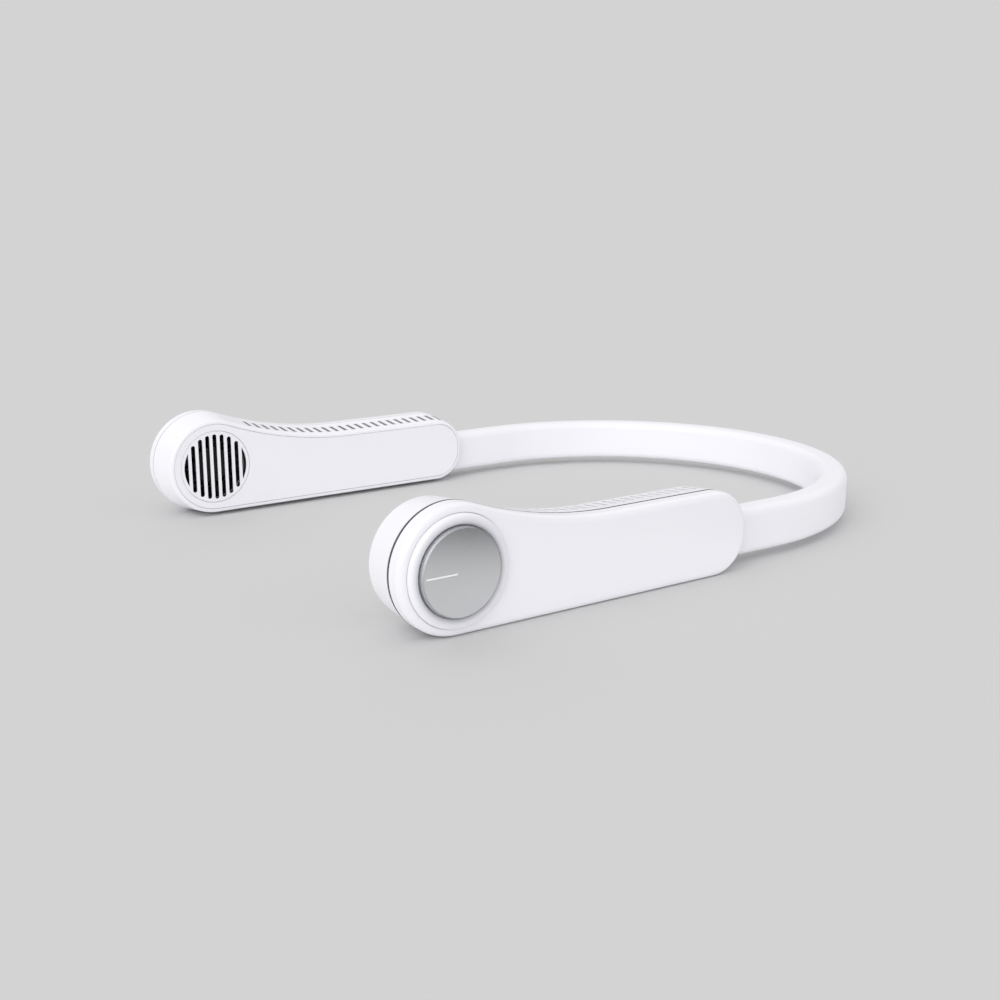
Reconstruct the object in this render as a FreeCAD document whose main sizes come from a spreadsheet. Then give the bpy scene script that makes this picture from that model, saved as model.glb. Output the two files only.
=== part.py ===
# Electric neck fan: two blower arms joined by a flexible neck band, in millimetres.
# +X runs from the fan heads at the front to the band at the back, and +Z is up.
# The origin lies on the surface that the fan rests on, under the middle of its box.
import FreeCAD, Part

import math
import os

import Sketcher
from FreeCAD import Placement, Rotation, Vector

# Driving sizes in millimetres, degrees, counts and shares. Each one fills a cell of the sheet.
SIZES = {
    # side outline of an arm, measured from the fan axis
    "head_radius": 18.7,
    "arm_reach": 109.3,
    "arm_top": 8.4,
    "neck_radius": 140.0,
    "tail_flat": 1.9,
    # section of an arm, measured from its inner face
    "neck_gap": 143.3,
    "arm_thick": 19.0,
    "outer_depth": 5.8,
    "outer_round": 2.2,
    "frame_draft": 1.5,
    "inner_round": 1.2,
    "cover_inset": 2.8,
    "seam_gap": 0.6,
    "wall": 1.8,
    "face_wall": 1.8,
    "lip_wall": 0.9,
    "lip_height": 1.0,
    "plate_ledge": 0.9,
    "plate_thick": 1.2,
    "plate_end_gap": 0.5,
    "cover_thick": 2.0,
    "cover_seam": 0.1,
    "cover_edge": 0.2,
    "floor_thick": 1.4,
    # gaps between pieces, and how far a cut starts outside its piece
    "fit_gap": 0.1,
    "press_gap": 0.02,
    "running_gap": 0.06,
    "cut_over": 1.0,
    # outlet slits along the top of an arm
    "slit_start": 15.0,
    "slit_tail": 10.15,
    "slit_count": 24,
    "slit_width": 1.5,
    "slit_near": 2.8,
    "slit_far": 9.2,
    "slit_depth": 2.6,
    # intake grille
    "grille_margin": 5.4,
    "grille_seam": 0.1,
    "grille_seat": 1.0,
    "grille_web": 0.9,
    "grille_rim": 1.2,
    "grille_side_slots": 3,
    "grille_steps": 4.31,
    "grille_open": 0.57,
    "grille_edge": 0.2,
    # speed dial and the collar round it
    "dial_margin": 6.0,
    "dial_gap": 0.3,
    "dial_sink": 0.8,
    "dial_rise": 2.2,
    "dial_float": 0.3,
    "dial_edge": 0.35,
    "stem_radius": 2.5,
    "collar_width": 3.2,
    "collar_seam": 0.12,
    "pointer_width": 0.5,
    "pointer_sink": 0.3,
    "pointer_edge": 1.1,
    "pointer_tail": 1.6,
    # rotary encoder and control board behind the dial
    "board_margin": 0.15,
    "board_thick": 0.8,
    "standoff": 0.8,
    "standoff_radius": 1.2,
    "standoff_edge": 2.5,
    "standoff_count": 3,
    "encoder_half": 6.0,
    "encoder_round": 1.0,
    "encoder_gap": 0.6,
    "encoder_rotor_radius": 4.0,
    # blower impeller and its motor
    "impeller_gap": 0.7,
    "impeller_front_gap": 1.0,
    "impeller_float": 0.8,
    "impeller_disc": 0.8,
    "hub_radius": 6.6,
    "hub_wall": 0.65,
    "hub_cap": 0.8,
    "blade_count": 26,
    "blade_thick": 0.6,
    "blade_curve": 0.51,
    "blade_middle": 0.63,
    "blade_rise": 0.59,
    "blade_start": 205.0,
    "blade_end": 300.0,
    "shaft_radius": 0.6,
    "bearing_radius": 1.8,
    "motor_tube": 2.4,
    "tube_end_gap": 0.7,
    "rotor_thick": 0.8,
    "rotor_end_gap": 0.3,
    "air_gap": 0.4,
    "stator_hub": 0.8,
    "stator_foot": 1.2,
    "stator_gap": 1.6,
    "tooth_count": 6,
    "tooth_width": 1.0,
    "shoe_width": 3.2,
    "shoe_thick": 0.5,
    "coil_width": 2.0,
    "coil_high": 0.4,
    # scroll and air duct
    "scroll_gap": 2.4,
    "scroll_shift": 1.4,
    "scroll_from": 252.0,
    "scroll_to": 335.0,
    "duct_wall": 1.0,
    "duct_start": 22.0,
    "duct_drop": 1.2,
    # battery, power board and charging socket
    "battery_start": 38.0,
    "battery_end_gap": 8.0,
    "battery_gap": 0.6,
    "battery_round": 1.4,
    "power_start": 22.2,
    "power_long": 14.0,
    "power_thick": 1.0,
    "power_low_gap": 0.4,
    "power_top_gap": 0.3,
    "lead_start": 30.0,
    "socket_width": 8.94,
    "socket_high": 3.16,
    "socket_round": 1.5,
    "socket_deep": 7.3,
    "socket_wall": 0.3,
    "socket_hollow": 6.0,
    "socket_inset": 1.0,
    "socket_gap": 0.2,
    "tongue_width": 6.7,
    "tongue_thick": 0.7,
    "tongue_long": 5.0,
    # neck band, its spring and its cable
    "band_lift": 2.7,
    "band_drop": 9.0,
    "band_floor_gap": 0.6,
    "band_shell_gap": 0.2,
    "band_round": 2.8,
    "band_straight": 22.25,
    "band_rear_half": 35.0,
    "mouth_gap": 0.15,
    "spring_thick": 0.8,
    "spring_edge": 1.5,
    "spring_gap": 1.6,
    "cable_radius": 1.2,
    "cable_edge": 3.1,
    "anchor_inset": 17.3,
    "anchor_long": 8.0,
    "anchor_gap": 0.7,
    "anchor_cap": 0.5,
    # screws
    "screw_radius": 1.0,
    "screw_head": 1.7,
    "screw_head_high": 1.0,
    "screw_end_gap": 0.4,
    "boss_radius": 2.2,
    "boss_floor": 1.0,
    "screw_front": 26.0,
    "screw_rear_gap": 5.0,
    "screw_drop": 4.5,
    "screw_chin": 15.8,
    "screw_low": 5.4,
}

doc = FreeCAD.newDocument("neck_fan")
sheet = doc.addObject("Spreadsheet::Sheet", "dim")
for row, (alias, size) in enumerate(SIZES.items(), start=1):
    sheet.set(f"A{row}", alias)
    sheet.set(f"B{row}", str(size))
    sheet.setAlias(f"B{row}", alias)
doc.recompute()

# Levels through the thickness of an arm, from its inner face outwards
FLOOR_TOP = "(dim.cover_thick + dim.floor_thick)"
PARTING = "(dim.arm_thick - dim.outer_depth)"
SHELL_START = f"({PARTING} + dim.seam_gap)"
PLATE_TOP = f"({PARTING} - dim.lip_height)"
PLATE_LOW = f"({PLATE_TOP} - dim.plate_thick)"
FACE_INSIDE = "(dim.arm_thick - dim.face_wall)"
DIAL_FLOOR = "(dim.arm_thick - dim.dial_sink)"
DIAL_TOP = "(dim.arm_thick + dim.dial_rise)"
BOARD_LOW = f"({PLATE_TOP} + dim.standoff)"
BOARD_TOP = f"({BOARD_LOW} + dim.board_thick)"
ENCODER_HIGH = f"({FACE_INSIDE} - {BOARD_TOP} - dim.encoder_gap)"
DISC_TOP = f"({PLATE_LOW} - dim.impeller_float)"
DISC_LOW = f"({DISC_TOP} - dim.impeller_disc)"
HUB_LOW = f"({FLOOR_TOP} + dim.impeller_front_gap)"
CAP_TOP = f"({HUB_LOW} + dim.hub_cap)"
TUBE_LOW = f"({CAP_TOP} + dim.tube_end_gap)"
STATOR_LOW = f"({CAP_TOP} + dim.stator_gap)"
STATOR_HIGH = f"({PLATE_LOW} - dim.stator_foot - {STATOR_LOW})"
POWER_LOW = f"({PLATE_LOW} - dim.power_thick)"
BOSS_GRIP = f"({FACE_INSIDE} - {PLATE_TOP} - dim.boss_floor)"
BAND_NEAR = f"({FLOOR_TOP} + dim.band_floor_gap)"
BAND_FAR = f"({SHELL_START} - dim.band_shell_gap)"
BAND_DEPTH = f"(({BAND_NEAR} + {BAND_FAR}) / 2)"
BAND_THICK = f"({BAND_FAR} - {BAND_NEAR})"

# Insets from the arm's outline
SEAT_INSET = "(dim.wall + dim.plate_ledge)"
PLATE_INSET = "(dim.wall + dim.fit_gap)"

# Heights in an arm, from the fan axis
CAVITY_LOW = f"({SEAT_INSET} - dim.head_radius)"
BAND_LOW = "(dim.band_lift - dim.head_radius)"
BAND_TOP = "(dim.arm_top - dim.band_drop)"
BAND_HEIGHT = f"({BAND_TOP} - {BAND_LOW})"
CABLE_Y = f"({BAND_TOP} - dim.cable_edge)"
CABLE_RISE = f"({BAND_HEIGHT} / 2 - dim.cable_edge)"
CABLE_ROOM = "(dim.cable_edge + dim.cable_radius + dim.spring_gap)"
SPRING_HIGH = f"({BAND_HEIGHT} - dim.spring_edge - {CABLE_ROOM})"
SPRING_RISE = f"((dim.spring_edge - {CABLE_ROOM}) / 2)"
SPRING_Y = f"({BAND_LOW} + {BAND_HEIGHT} / 2 + {SPRING_RISE})"
DUCT_TOP = f"({CABLE_Y} + dim.cable_radius + dim.duct_drop)"
DUCT_LOW = f"({DUCT_TOP} - dim.duct_wall)"

# Lengths along the object
ANCHOR_START = "(dim.arm_reach - dim.anchor_inset)"
ANCHOR_END = f"({ANCHOR_START} + dim.anchor_long)"
ANCHOR_SCREW_X = f"({ANCHOR_START} + dim.anchor_long / 2)"
SCREW_REAR = f"({ANCHOR_START} - dim.screw_rear_gap)"
SLIT_PITCH = "((dim.arm_reach - dim.slit_tail - dim.slit_start) / (dim.slit_count - 1))"
BAND_RADIUS = f"(dim.neck_gap / 2 + {BAND_DEPTH})"
BAND_X = "(dim.arm_reach + dim.band_straight)"
LENGTH = f"(dim.head_radius + {BAND_X} + {BAND_RADIUS} + {BAND_THICK} / 2)"
HEAD_X = f"(dim.head_radius - {LENGTH} / 2)"
SOCKET_X = "(dim.power_start + dim.power_long / 2)"
SOCKET_Z = f"({POWER_LOW} - dim.socket_high / 2)"

# Radii of the grille, the blower and the dial, which fit inside the head
GRILLE_RADIUS = "(dim.head_radius - dim.grille_margin)"
GRILLE_FIELD = f"({GRILLE_RADIUS} - dim.grille_rim)"
GRILLE_PITCH = f"({GRILLE_FIELD} / dim.grille_steps)"
GRILLE_SLOT = f"({GRILLE_PITCH} * dim.grille_open)"
INTAKE_RADIUS = f"({GRILLE_RADIUS} - dim.grille_seat)"
IMPELLER_RADIUS = f"({INTAKE_RADIUS} - dim.impeller_gap)"
BLADE_FIELD = f"({IMPELLER_RADIUS} - dim.hub_radius)"
SCROLL_RADIUS = f"({IMPELLER_RADIUS} + dim.scroll_gap)"
DIAL_RADIUS = "(dim.head_radius - dim.dial_margin)"
COLLAR_BORE = f"({DIAL_RADIUS} + dim.dial_gap)"
COLLAR_RADIUS = f"({COLLAR_BORE} + dim.collar_width)"
BOARD_RADIUS = f"({DIAL_RADIUS} - dim.board_margin)"

# Radii of the motor, from the hub inwards
HUB_BORE = "(dim.hub_radius - dim.hub_wall)"
ROTOR_OUTSIDE = f"({HUB_BORE} - dim.running_gap)"
ROTOR_INSIDE = f"({ROTOR_OUTSIDE} - dim.rotor_thick)"
STATOR_RADIUS = f"({ROTOR_INSIDE} - dim.air_gap)"
STATOR_BORE = "(dim.motor_tube + dim.running_gap)"

pieces = []


# Working with the sheet


def number(expression):
    """Gives the value of an expression of the sheet's sizes."""
    return float(sheet.evalExpression(expression))


def bind(item, sizes):
    """Ties properties of an object to expressions of the sheet's sizes."""
    for name, expression in sizes.items():
        item.setExpression(name, expression)


# Drawing sketches


def set_size(sketch, kind, expression, *where):
    """Adds one dimension to a sketch and ties it to the sheet."""
    index = sketch.addConstraint(Sketcher.Constraint(kind, *where, number(expression)))
    sketch.setExpression(f"Constraints[{index}]", expression)


def set_angle(sketch, line, expression):
    """Sets the direction of a line of a sketch, in degrees from the sketch's first axis."""
    radians = math.radians(number(expression))
    index = sketch.addConstraint(Sketcher.Constraint("Angle", line, radians))
    sketch.setExpression(f"Constraints[{index}]", f"{expression} * 1 deg")


def set_point(sketch, item, end, x, y):
    """Places one point of a sketch item by its distances from the sketch's origin."""
    set_size(sketch, "DistanceX", x, -1, 1, item, end)
    set_size(sketch, "DistanceY", y, -1, 1, item, end)


def join_tangent(sketch, joints):
    """Joins ends of sketch items so that each pair runs on smoothly."""
    for joint in joints:
        sketch.addConstraint(Sketcher.Constraint("Tangent", *joint))


def arc(centre, radius, start, end):
    """Makes an arc, counterclockwise between two angles in radians."""
    circle = Part.Circle(Vector(centre[0], centre[1], 0), Vector(0, 0, 1), radius)
    return Part.ArcOfCircle(circle, start, end)


def line(start, end):
    """Makes a straight line between two points."""
    return Part.LineSegment(Vector(start[0], start[1], 0), Vector(end[0], end[1], 0))


def draw_circle(sketch, radius, x="0", y="0"):
    """Draws a circle about a point."""
    centre = Vector(number(x), number(y), 0)
    item = sketch.addGeometry(Part.Circle(centre, Vector(0, 0, 1), number(radius)))
    set_point(sketch, item, 3, x, y)
    set_size(sketch, "Radius", radius, item)


def draw_polygon(sketch, points):
    """Draws a closed outline of straight lines through points given as expressions."""
    corners = [(number(x), number(y)) for x, y in points]
    first = sketch.GeometryCount
    count = len(corners)
    for index, corner in enumerate(corners):
        sketch.addGeometry(line(corner, corners[(index + 1) % count]))
    for index, (x, y) in enumerate(points):
        following = first + (index + 1) % count
        sketch.addConstraint(Sketcher.Constraint("Coincident", first + index, 2, following, 1))
        set_point(sketch, first + index, 1, x, y)


def draw_box(sketch, left, right, low, high):
    """Draws a rectangle between four sides."""
    draw_polygon(sketch, [(left, low), (right, low), (right, high), (left, high)])


def draw_round_box(sketch, left, right, low, high, radius):
    """Draws a rectangle with four equal round corners between four sides."""
    x0, x1, y0, y1, r = (number(text) for text in (left, right, low, high, radius))
    quarter = math.pi / 2
    first = sketch.GeometryCount
    sketch.addGeometry(line((x0 + r, y0), (x1 - r, y0)))
    sketch.addGeometry(arc((x1 - r, y0 + r), r, -quarter, 0))
    sketch.addGeometry(line((x1, y0 + r), (x1, y1 - r)))
    sketch.addGeometry(arc((x1 - r, y1 - r), r, 0, quarter))
    sketch.addGeometry(line((x1 - r, y1), (x0 + r, y1)))
    sketch.addGeometry(arc((x0 + r, y1 - r), r, quarter, 2 * quarter))
    sketch.addGeometry(line((x0, y1 - r), (x0, y0 + r)))
    sketch.addGeometry(arc((x0 + r, y0 + r), r, 2 * quarter, 3 * quarter))
    join_tangent(sketch, [(first + k, 2, first + (k + 1) % 8, 1) for k in range(8)])
    for side in (0, 4):
        sketch.addConstraint(Sketcher.Constraint("Horizontal", first + side))
    for side in (2, 6):
        sketch.addConstraint(Sketcher.Constraint("Vertical", first + side))
    for corner in (3, 5, 7):
        sketch.addConstraint(Sketcher.Constraint("Equal", first + 1, first + corner))
    set_size(sketch, "Radius", radius, first + 1)
    set_size(sketch, "DistanceY", low, -1, 1, first, 1)
    set_size(sketch, "DistanceX", right, -1, 1, first + 2, 1)
    set_size(sketch, "DistanceY", high, -1, 1, first + 4, 1)
    set_size(sketch, "DistanceX", left, -1, 1, first + 6, 1)


def draw_slot(sketch, x, width, half_length):
    """Draws an upright slot with round ends, centred on the sketch's first axis."""
    middle, radius = number(x), number(width) / 2
    reach = number(half_length) - radius
    first = sketch.GeometryCount
    sketch.addGeometry(line((middle + radius, -reach), (middle + radius, reach)))
    sketch.addGeometry(arc((middle, reach), radius, 0, math.pi))
    sketch.addGeometry(line((middle - radius, reach), (middle - radius, -reach)))
    sketch.addGeometry(arc((middle, -reach), radius, math.pi, 2 * math.pi))
    join_tangent(sketch, [(first + k, 2, first + (k + 1) % 4, 1) for k in range(4)])
    sketch.addConstraint(Sketcher.Constraint("Vertical", first))
    sketch.addConstraint(Sketcher.Constraint("Equal", first + 1, first + 3))
    set_size(sketch, "Radius", f"{width} / 2", first + 1)
    set_point(sketch, first + 1, 3, x, f"{half_length} - {width} / 2")
    set_size(sketch, "DistanceY", f"{width} / 2 - {half_length}", -1, 1, first + 3, 3)


def draw_sector(sketch, x, y, radius, thick, start, end):
    """Draws a bent wall: two arcs about one centre, closed by lines towards that centre."""
    centre = (number(x), number(y))
    outer, inner = number(radius), number(radius) - number(thick)
    angles = [math.radians(number(start)), math.radians(number(end))]
    first = sketch.GeometryCount

    def at(reach, angle):
        """Gives the point at an angle round the centre."""
        return (centre[0] + reach * math.cos(angle), centre[1] + reach * math.sin(angle))

    sketch.addGeometry(arc(centre, outer, *angles))
    sketch.addGeometry(arc(centre, inner, *angles))
    for angle in angles:
        sketch.addGeometry(line(at(inner, angle), at(outer, angle)))
    sketch.addConstraint(Sketcher.Constraint("Coincident", first, 3, first + 1, 3))
    for closing, end_point in ((first + 2, 1), (first + 3, 2)):
        sketch.addConstraint(Sketcher.Constraint("Coincident", closing, 1, first + 1, end_point))
        sketch.addConstraint(Sketcher.Constraint("Coincident", closing, 2, first, end_point))
    set_point(sketch, first, 3, x, y)
    set_size(sketch, "Radius", radius, first)
    set_size(sketch, "Radius", f"{radius} - {thick}", first + 1)
    set_angle(sketch, first + 2, start)
    set_angle(sketch, first + 3, end)


def draw_arm_outline(sketch, inset="0", reach="dim.arm_reach"):
    """Draws an arm's side outline, drawn in all round by an inset.

    The round head runs on into a flat underside, a rounded tail, a straight top edge and a
    hollow neck that meets the head again. All its arcs and lines join smoothly.
    """
    tail = f"((dim.head_radius + dim.arm_top - dim.tail_flat) / 2 - {inset})"
    head, neck = f"dim.head_radius - {inset}", f"dim.neck_radius + {inset}"
    top, end = f"dim.arm_top - {inset}", f"{reach} - {inset}"
    r, n, t = number(head), number(neck), number(tail)
    y, x = number(top), number(end)
    neck_x = math.sqrt((r + n) ** 2 - (y + n) ** 2)
    lean = math.atan2(y + n, neck_x)
    quarter = math.pi / 2
    first = sketch.GeometryCount
    sketch.addGeometry(arc((0, 0), r, lean, 3 * quarter))
    sketch.addGeometry(line((0, -r), (x - t, -r)))
    sketch.addGeometry(arc((x - t, t - r), t, -quarter, 0))
    sketch.addGeometry(line((x, t - r), (x, y - t)))
    sketch.addGeometry(arc((x - t, y - t), t, 0, quarter))
    sketch.addGeometry(line((x - t, y), (neck_x, y)))
    sketch.addGeometry(arc((neck_x, y + n), n, lean + 2 * quarter, 3 * quarter))
    joints = [(first + k, 2, first + k + 1, 1) for k in range(5)]
    joints += [(first + 5, 2, first + 6, 2), (first + 6, 1, first, 1)]
    join_tangent(sketch, joints)
    sketch.addConstraint(Sketcher.Constraint("Coincident", first, 3, -1, 1))
    sketch.addConstraint(Sketcher.Constraint("Horizontal", first + 1))
    sketch.addConstraint(Sketcher.Constraint("Vertical", first + 3))
    sketch.addConstraint(Sketcher.Constraint("Horizontal", first + 5))
    set_size(sketch, "Radius", head, first)
    set_size(sketch, "Radius", tail, first + 2)
    set_size(sketch, "Radius", tail, first + 4)
    set_size(sketch, "Radius", neck, first + 6)
    set_size(sketch, "DistanceX", end, -1, 1, first + 3, 1)
    set_size(sketch, "DistanceY", top, -1, 1, first + 5, 1)


# Making features


def new_body(label):
    """Starts a piece that is made of sketched features."""
    body = doc.addObject("PartDesign::Body", label)
    body.Label = label
    return body


def new_sketch(body, offset="0", role="XY_Plane"):
    """Starts a sketch parallel to one of a body's own origin planes."""
    sketch = body.newObject("Sketcher::SketchObject", f"{body.Label}_sketch")
    plane = next(item for item in body.Origin.OriginFeatures if item.Role == role)
    sketch.AttachmentSupport = [(plane, "")]
    sketch.MapMode = "FlatFace"
    sketch.setExpression("AttachmentOffset.Base.z", offset)
    doc.recompute()
    return sketch


def extrude(body, kind, sketch, length, turned):
    """Adds a pad or a pocket of a given length to a body."""
    feature = body.newObject(f"PartDesign::{kind}", f"{body.Label}_{kind.lower()}")
    feature.Profile = sketch
    feature.Reversed = turned
    feature.setExpression("Length", length)
    doc.recompute()
    return feature


def pad(body, sketch, length, turned=False):
    """Adds material along a sketch's normal, or against it when turned."""
    return extrude(body, "Pad", sketch, length, turned)


def pocket(body, sketch, length, turned=False):
    """Cuts material against a sketch's normal, or along it when turned."""
    before = body.Shape.Volume
    feature = extrude(body, "Pocket", sketch, length, turned)
    if body.Shape.Volume >= before:
        raise RuntimeError(f"{feature.Label} cuts nothing")
    return feature


def revolve(body, sketch, angle="360"):
    """Turns a sketch about its upright axis, to both sides alike."""
    feature = body.newObject("PartDesign::Revolution", f"{body.Label}_turn")
    feature.Profile = sketch
    feature.ReferenceAxis = (sketch, ["V_Axis"])
    feature.Midplane = True
    feature.setExpression("Angle", angle)
    doc.recompute()
    return feature


def loft(body, section, end_section):
    """Joins two sections by straight, drafted sides."""
    feature = body.newObject("PartDesign::AdditiveLoft", f"{body.Label}_loft")
    feature.Profile = section
    feature.Sections = [end_section]
    feature.Ruled = True
    doc.recompute()
    return feature


def sweep(body, section, path):
    """Runs a section along a path."""
    feature = body.newObject("PartDesign::AdditivePipe", f"{body.Label}_sweep")
    feature.Profile = section
    feature.Spine = path
    doc.recompute()
    return feature


def polar(body, feature, sketch, count):
    """Repeats a feature round a sketch's normal."""
    pattern = body.newObject("PartDesign::PolarPattern", f"{body.Label}_ring")
    pattern.Originals = [feature]
    pattern.Axis = (sketch, ["N_Axis"])
    pattern.Angle = 360
    pattern.setExpression("Occurrences", count)
    body.Tip = pattern
    doc.recompute()
    return pattern


def in_row(body, feature, sketch, count, pitch):
    """Repeats a feature along a sketch's first axis."""
    pattern = body.newObject("PartDesign::LinearPattern", f"{body.Label}_row")
    pattern.Originals = [feature]
    pattern.Direction = (sketch, ["H_Axis"])
    bind(pattern, {"Occurrences": count, "Length": f"{pitch} * ({count} - 1)"})
    body.Tip = pattern
    doc.recompute()
    return pattern


def level_edges(shape, level):
    """Names the edges of a shape that lie flat at a level along the third axis."""
    names = []
    for index, edge in enumerate(shape.Edges, start=1):
        box = edge.BoundBox
        if max(abs(box.ZMin - level), abs(box.ZMax - level)) < 1e-4:
            names.append(f"Edge{index}")
    return names


def dress(body, kind, feature, level, size):
    """Rounds or chamfers the edges of a body's feature that lie at a level."""
    edges = level_edges(feature.Shape, number(level))
    finish = body.newObject(f"PartDesign::{kind}", f"{body.Label}_{kind.lower()}")
    finish.Base = (feature, edges)
    finish.setExpression("Radius" if kind == "Fillet" else "Size", size)
    doc.recompute()
    return finish


# Placing pieces

UPRIGHT = Rotation(Vector(1, 0, 0), 90)
ALONG = Rotation(Vector(0, 1, 0), 90)


def place_in_arm(item, x="0", y="0", z="0", rotation=UPRIGHT):
    """Places an item in the left arm: x along it, y up and z outwards from its inner face."""
    item.Placement = Placement(Vector(), rotation)
    bind(item, {
        "Placement.Base.x": f"{HEAD_X} + {x}",
        "Placement.Base.y": f"-dim.neck_gap / 2 - ({z})",
        "Placement.Base.z": f"dim.head_radius + {y}",
    })


def place_in_band(item):
    """Places an item at the centre of the band's bend, at the middle of its height."""
    bind(item, {
        "Placement.Base.x": f"{HEAD_X} + {BAND_X}",
        "Placement.Base.z": f"dim.band_lift + {BAND_HEIGHT} / 2",
    })


def finish_left(body):
    """Places a finished body in the left arm and lists it."""
    place_in_arm(body)
    pieces.append(body)
    return body


def mirror_right(source, label):
    """Makes the right arm's piece as the mirror image of one in the left arm."""
    twin = doc.addObject("Part::Mirroring", label)
    twin.Label = label
    twin.Source = source
    twin.Base = Vector(0, 0, 0)
    twin.Normal = Vector(0, 1, 0)
    pieces.append(twin)


def finish_pair(body, name):
    """Places a body in the left arm and mirrors it into the right arm."""
    finish_left(body)
    mirror_right(body, f"right_{name}")


# Where the screws stand in an arm, as distances along it and up from the fan axis
COVER_SCREWS = [
    ("dim.screw_front", "(dim.arm_top - dim.screw_drop)"),
    (SCREW_REAR, "(dim.arm_top - dim.screw_drop)"),
    ("dim.screw_chin", "(dim.screw_low - dim.head_radius)"),
    (SCREW_REAR, "(dim.screw_low - dim.head_radius)"),
]


# Shells of an arm


def make_arm_frame(label):
    """The arm's main shell: a tub with outlet slits, an intake hole and the band's mouth."""
    body = new_body(label)
    outline = new_sketch(body, PARTING)
    draw_arm_outline(outline)
    inner_outline = new_sketch(body)
    draw_arm_outline(inner_outline, "dim.frame_draft")
    block = loft(body, outline, inner_outline)
    dress(body, "Fillet", block, "0", "dim.inner_round")

    slit = new_sketch(body, "-(dim.head_radius + dim.cut_over)", "XZ_Plane")
    draw_box(slit, "dim.slit_start", "dim.slit_start + dim.slit_width", "dim.slit_near", "dim.slit_far")
    slit_bottom = f"dim.head_radius + dim.cut_over - (dim.arm_top - {SEAT_INSET} - dim.fit_gap)"
    first_slit = pocket(body, slit, slit_bottom, turned=True)
    in_row(body, first_slit, slit, "dim.slit_count", SLIT_PITCH)
    backing = new_sketch(body, "dim.slit_near")
    draw_arm_outline(backing, "dim.slit_depth")
    pad(body, backing, f"{FLOOR_TOP} - dim.slit_near")

    for inset, level in (
        (SEAT_INSET, FLOOR_TOP),
        ("dim.wall", PLATE_LOW),
        ("dim.lip_wall", PLATE_TOP),
    ):
        hollow = new_sketch(body, PARTING)
        draw_arm_outline(hollow, inset)
        pocket(body, hollow, f"{PARTING} - {level}")
    recess = new_sketch(body)
    draw_arm_outline(recess, "dim.cover_inset")
    pocket(body, recess, "dim.cover_thick", turned=True)
    intake = new_sketch(body, FLOOR_TOP)
    draw_circle(intake, INTAKE_RADIUS)
    pocket(body, intake, "dim.floor_thick")
    anchor_hole = new_sketch(body, FLOOR_TOP)
    draw_circle(anchor_hole, "dim.screw_radius + dim.fit_gap", ANCHOR_SCREW_X, SPRING_Y)
    pocket(body, anchor_hole, "dim.floor_thick")
    cut_band_mouth(body)
    return body


def cut_band_mouth(body):
    """Cuts the mouth in the tail that the band passes through."""
    mouth = new_sketch(body, "dim.arm_reach + dim.cut_over", "YZ_Plane")
    draw_round_box(
        mouth,
        f"{BAND_LOW} - dim.mouth_gap",
        f"{BAND_TOP} + dim.mouth_gap",
        f"{BAND_NEAR} - dim.mouth_gap",
        f"{BAND_FAR} + dim.mouth_gap",
        "dim.band_round + dim.mouth_gap",
    )
    pocket(body, mouth, f"dim.arm_reach + dim.cut_over - {ANCHOR_END}")


def make_port_cutter(label):
    """The round-ended plug that cuts the charging port's opening."""
    body = new_body(label)
    port = new_sketch(body, "dim.head_radius + dim.cut_over", "XZ_Plane")
    draw_round_box(
        port,
        f"{SOCKET_X} - dim.socket_width / 2 - dim.socket_gap",
        f"{SOCKET_X} + dim.socket_width / 2 + dim.socket_gap",
        f"{SOCKET_Z} - dim.socket_high / 2 - dim.socket_gap",
        f"{SOCKET_Z} + dim.socket_high / 2 + dim.socket_gap",
        "dim.socket_round + dim.socket_gap",
    )
    pad(body, port, f"{SEAT_INSET} + 2 * dim.cut_over", turned=True)
    place_in_arm(body)
    return body


def make_stem_cutter(label):
    """The round plug that cuts the hole for the dial's stem."""
    cutter = doc.addObject("Part::Cylinder", label)
    bind(cutter, {
        "Radius": "dim.stem_radius + dim.running_gap",
        "Height": "dim.face_wall + 2 * dim.cut_over",
    })
    place_in_arm(cutter, z=f"{FACE_INSIDE} - dim.cut_over")
    return cutter


def cut_left(label, base, tool):
    """Makes the left arm's shell from the plain one, with one more opening."""
    shell = doc.addObject("Part::Cut", label)
    shell.Label = label
    shell.Base = base
    shell.Tool = tool
    doc.recompute()
    pieces.append(shell)


def make_outer_shell(label):
    """The arm's outer shell, with a lip into the frame, screw bosses and the dial's recess."""
    body = new_body(label)
    outline = new_sketch(body, SHELL_START)
    draw_arm_outline(outline)
    block = pad(body, outline, f"dim.arm_thick - {SHELL_START}")
    dress(body, "Fillet", block, "dim.arm_thick", "dim.outer_round")
    hollow = new_sketch(body, SHELL_START)
    draw_arm_outline(hollow, "dim.wall")
    pocket(body, hollow, f"{FACE_INSIDE} - {SHELL_START}", turned=True)
    lip = new_sketch(body, PLATE_TOP)
    draw_arm_outline(lip, "(dim.lip_wall + dim.fit_gap)")
    draw_arm_outline(lip, "dim.wall")
    pad(body, lip, f"{SHELL_START} - {PLATE_TOP}")
    bosses = new_sketch(body, PLATE_TOP)
    pilots = new_sketch(body, PLATE_TOP)
    for x, y in COVER_SCREWS:
        draw_circle(bosses, "dim.boss_radius", x, y)
        draw_circle(pilots, "dim.screw_radius", x, y)
    pad(body, bosses, f"{FACE_INSIDE} - {PLATE_TOP}")
    pocket(body, pilots, BOSS_GRIP, turned=True)
    recess = new_sketch(body, "dim.arm_thick")
    draw_circle(recess, f"{COLLAR_RADIUS} + dim.collar_seam")
    pocket(body, recess, "dim.dial_sink")
    cut_band_mouth(body)
    return body


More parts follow.
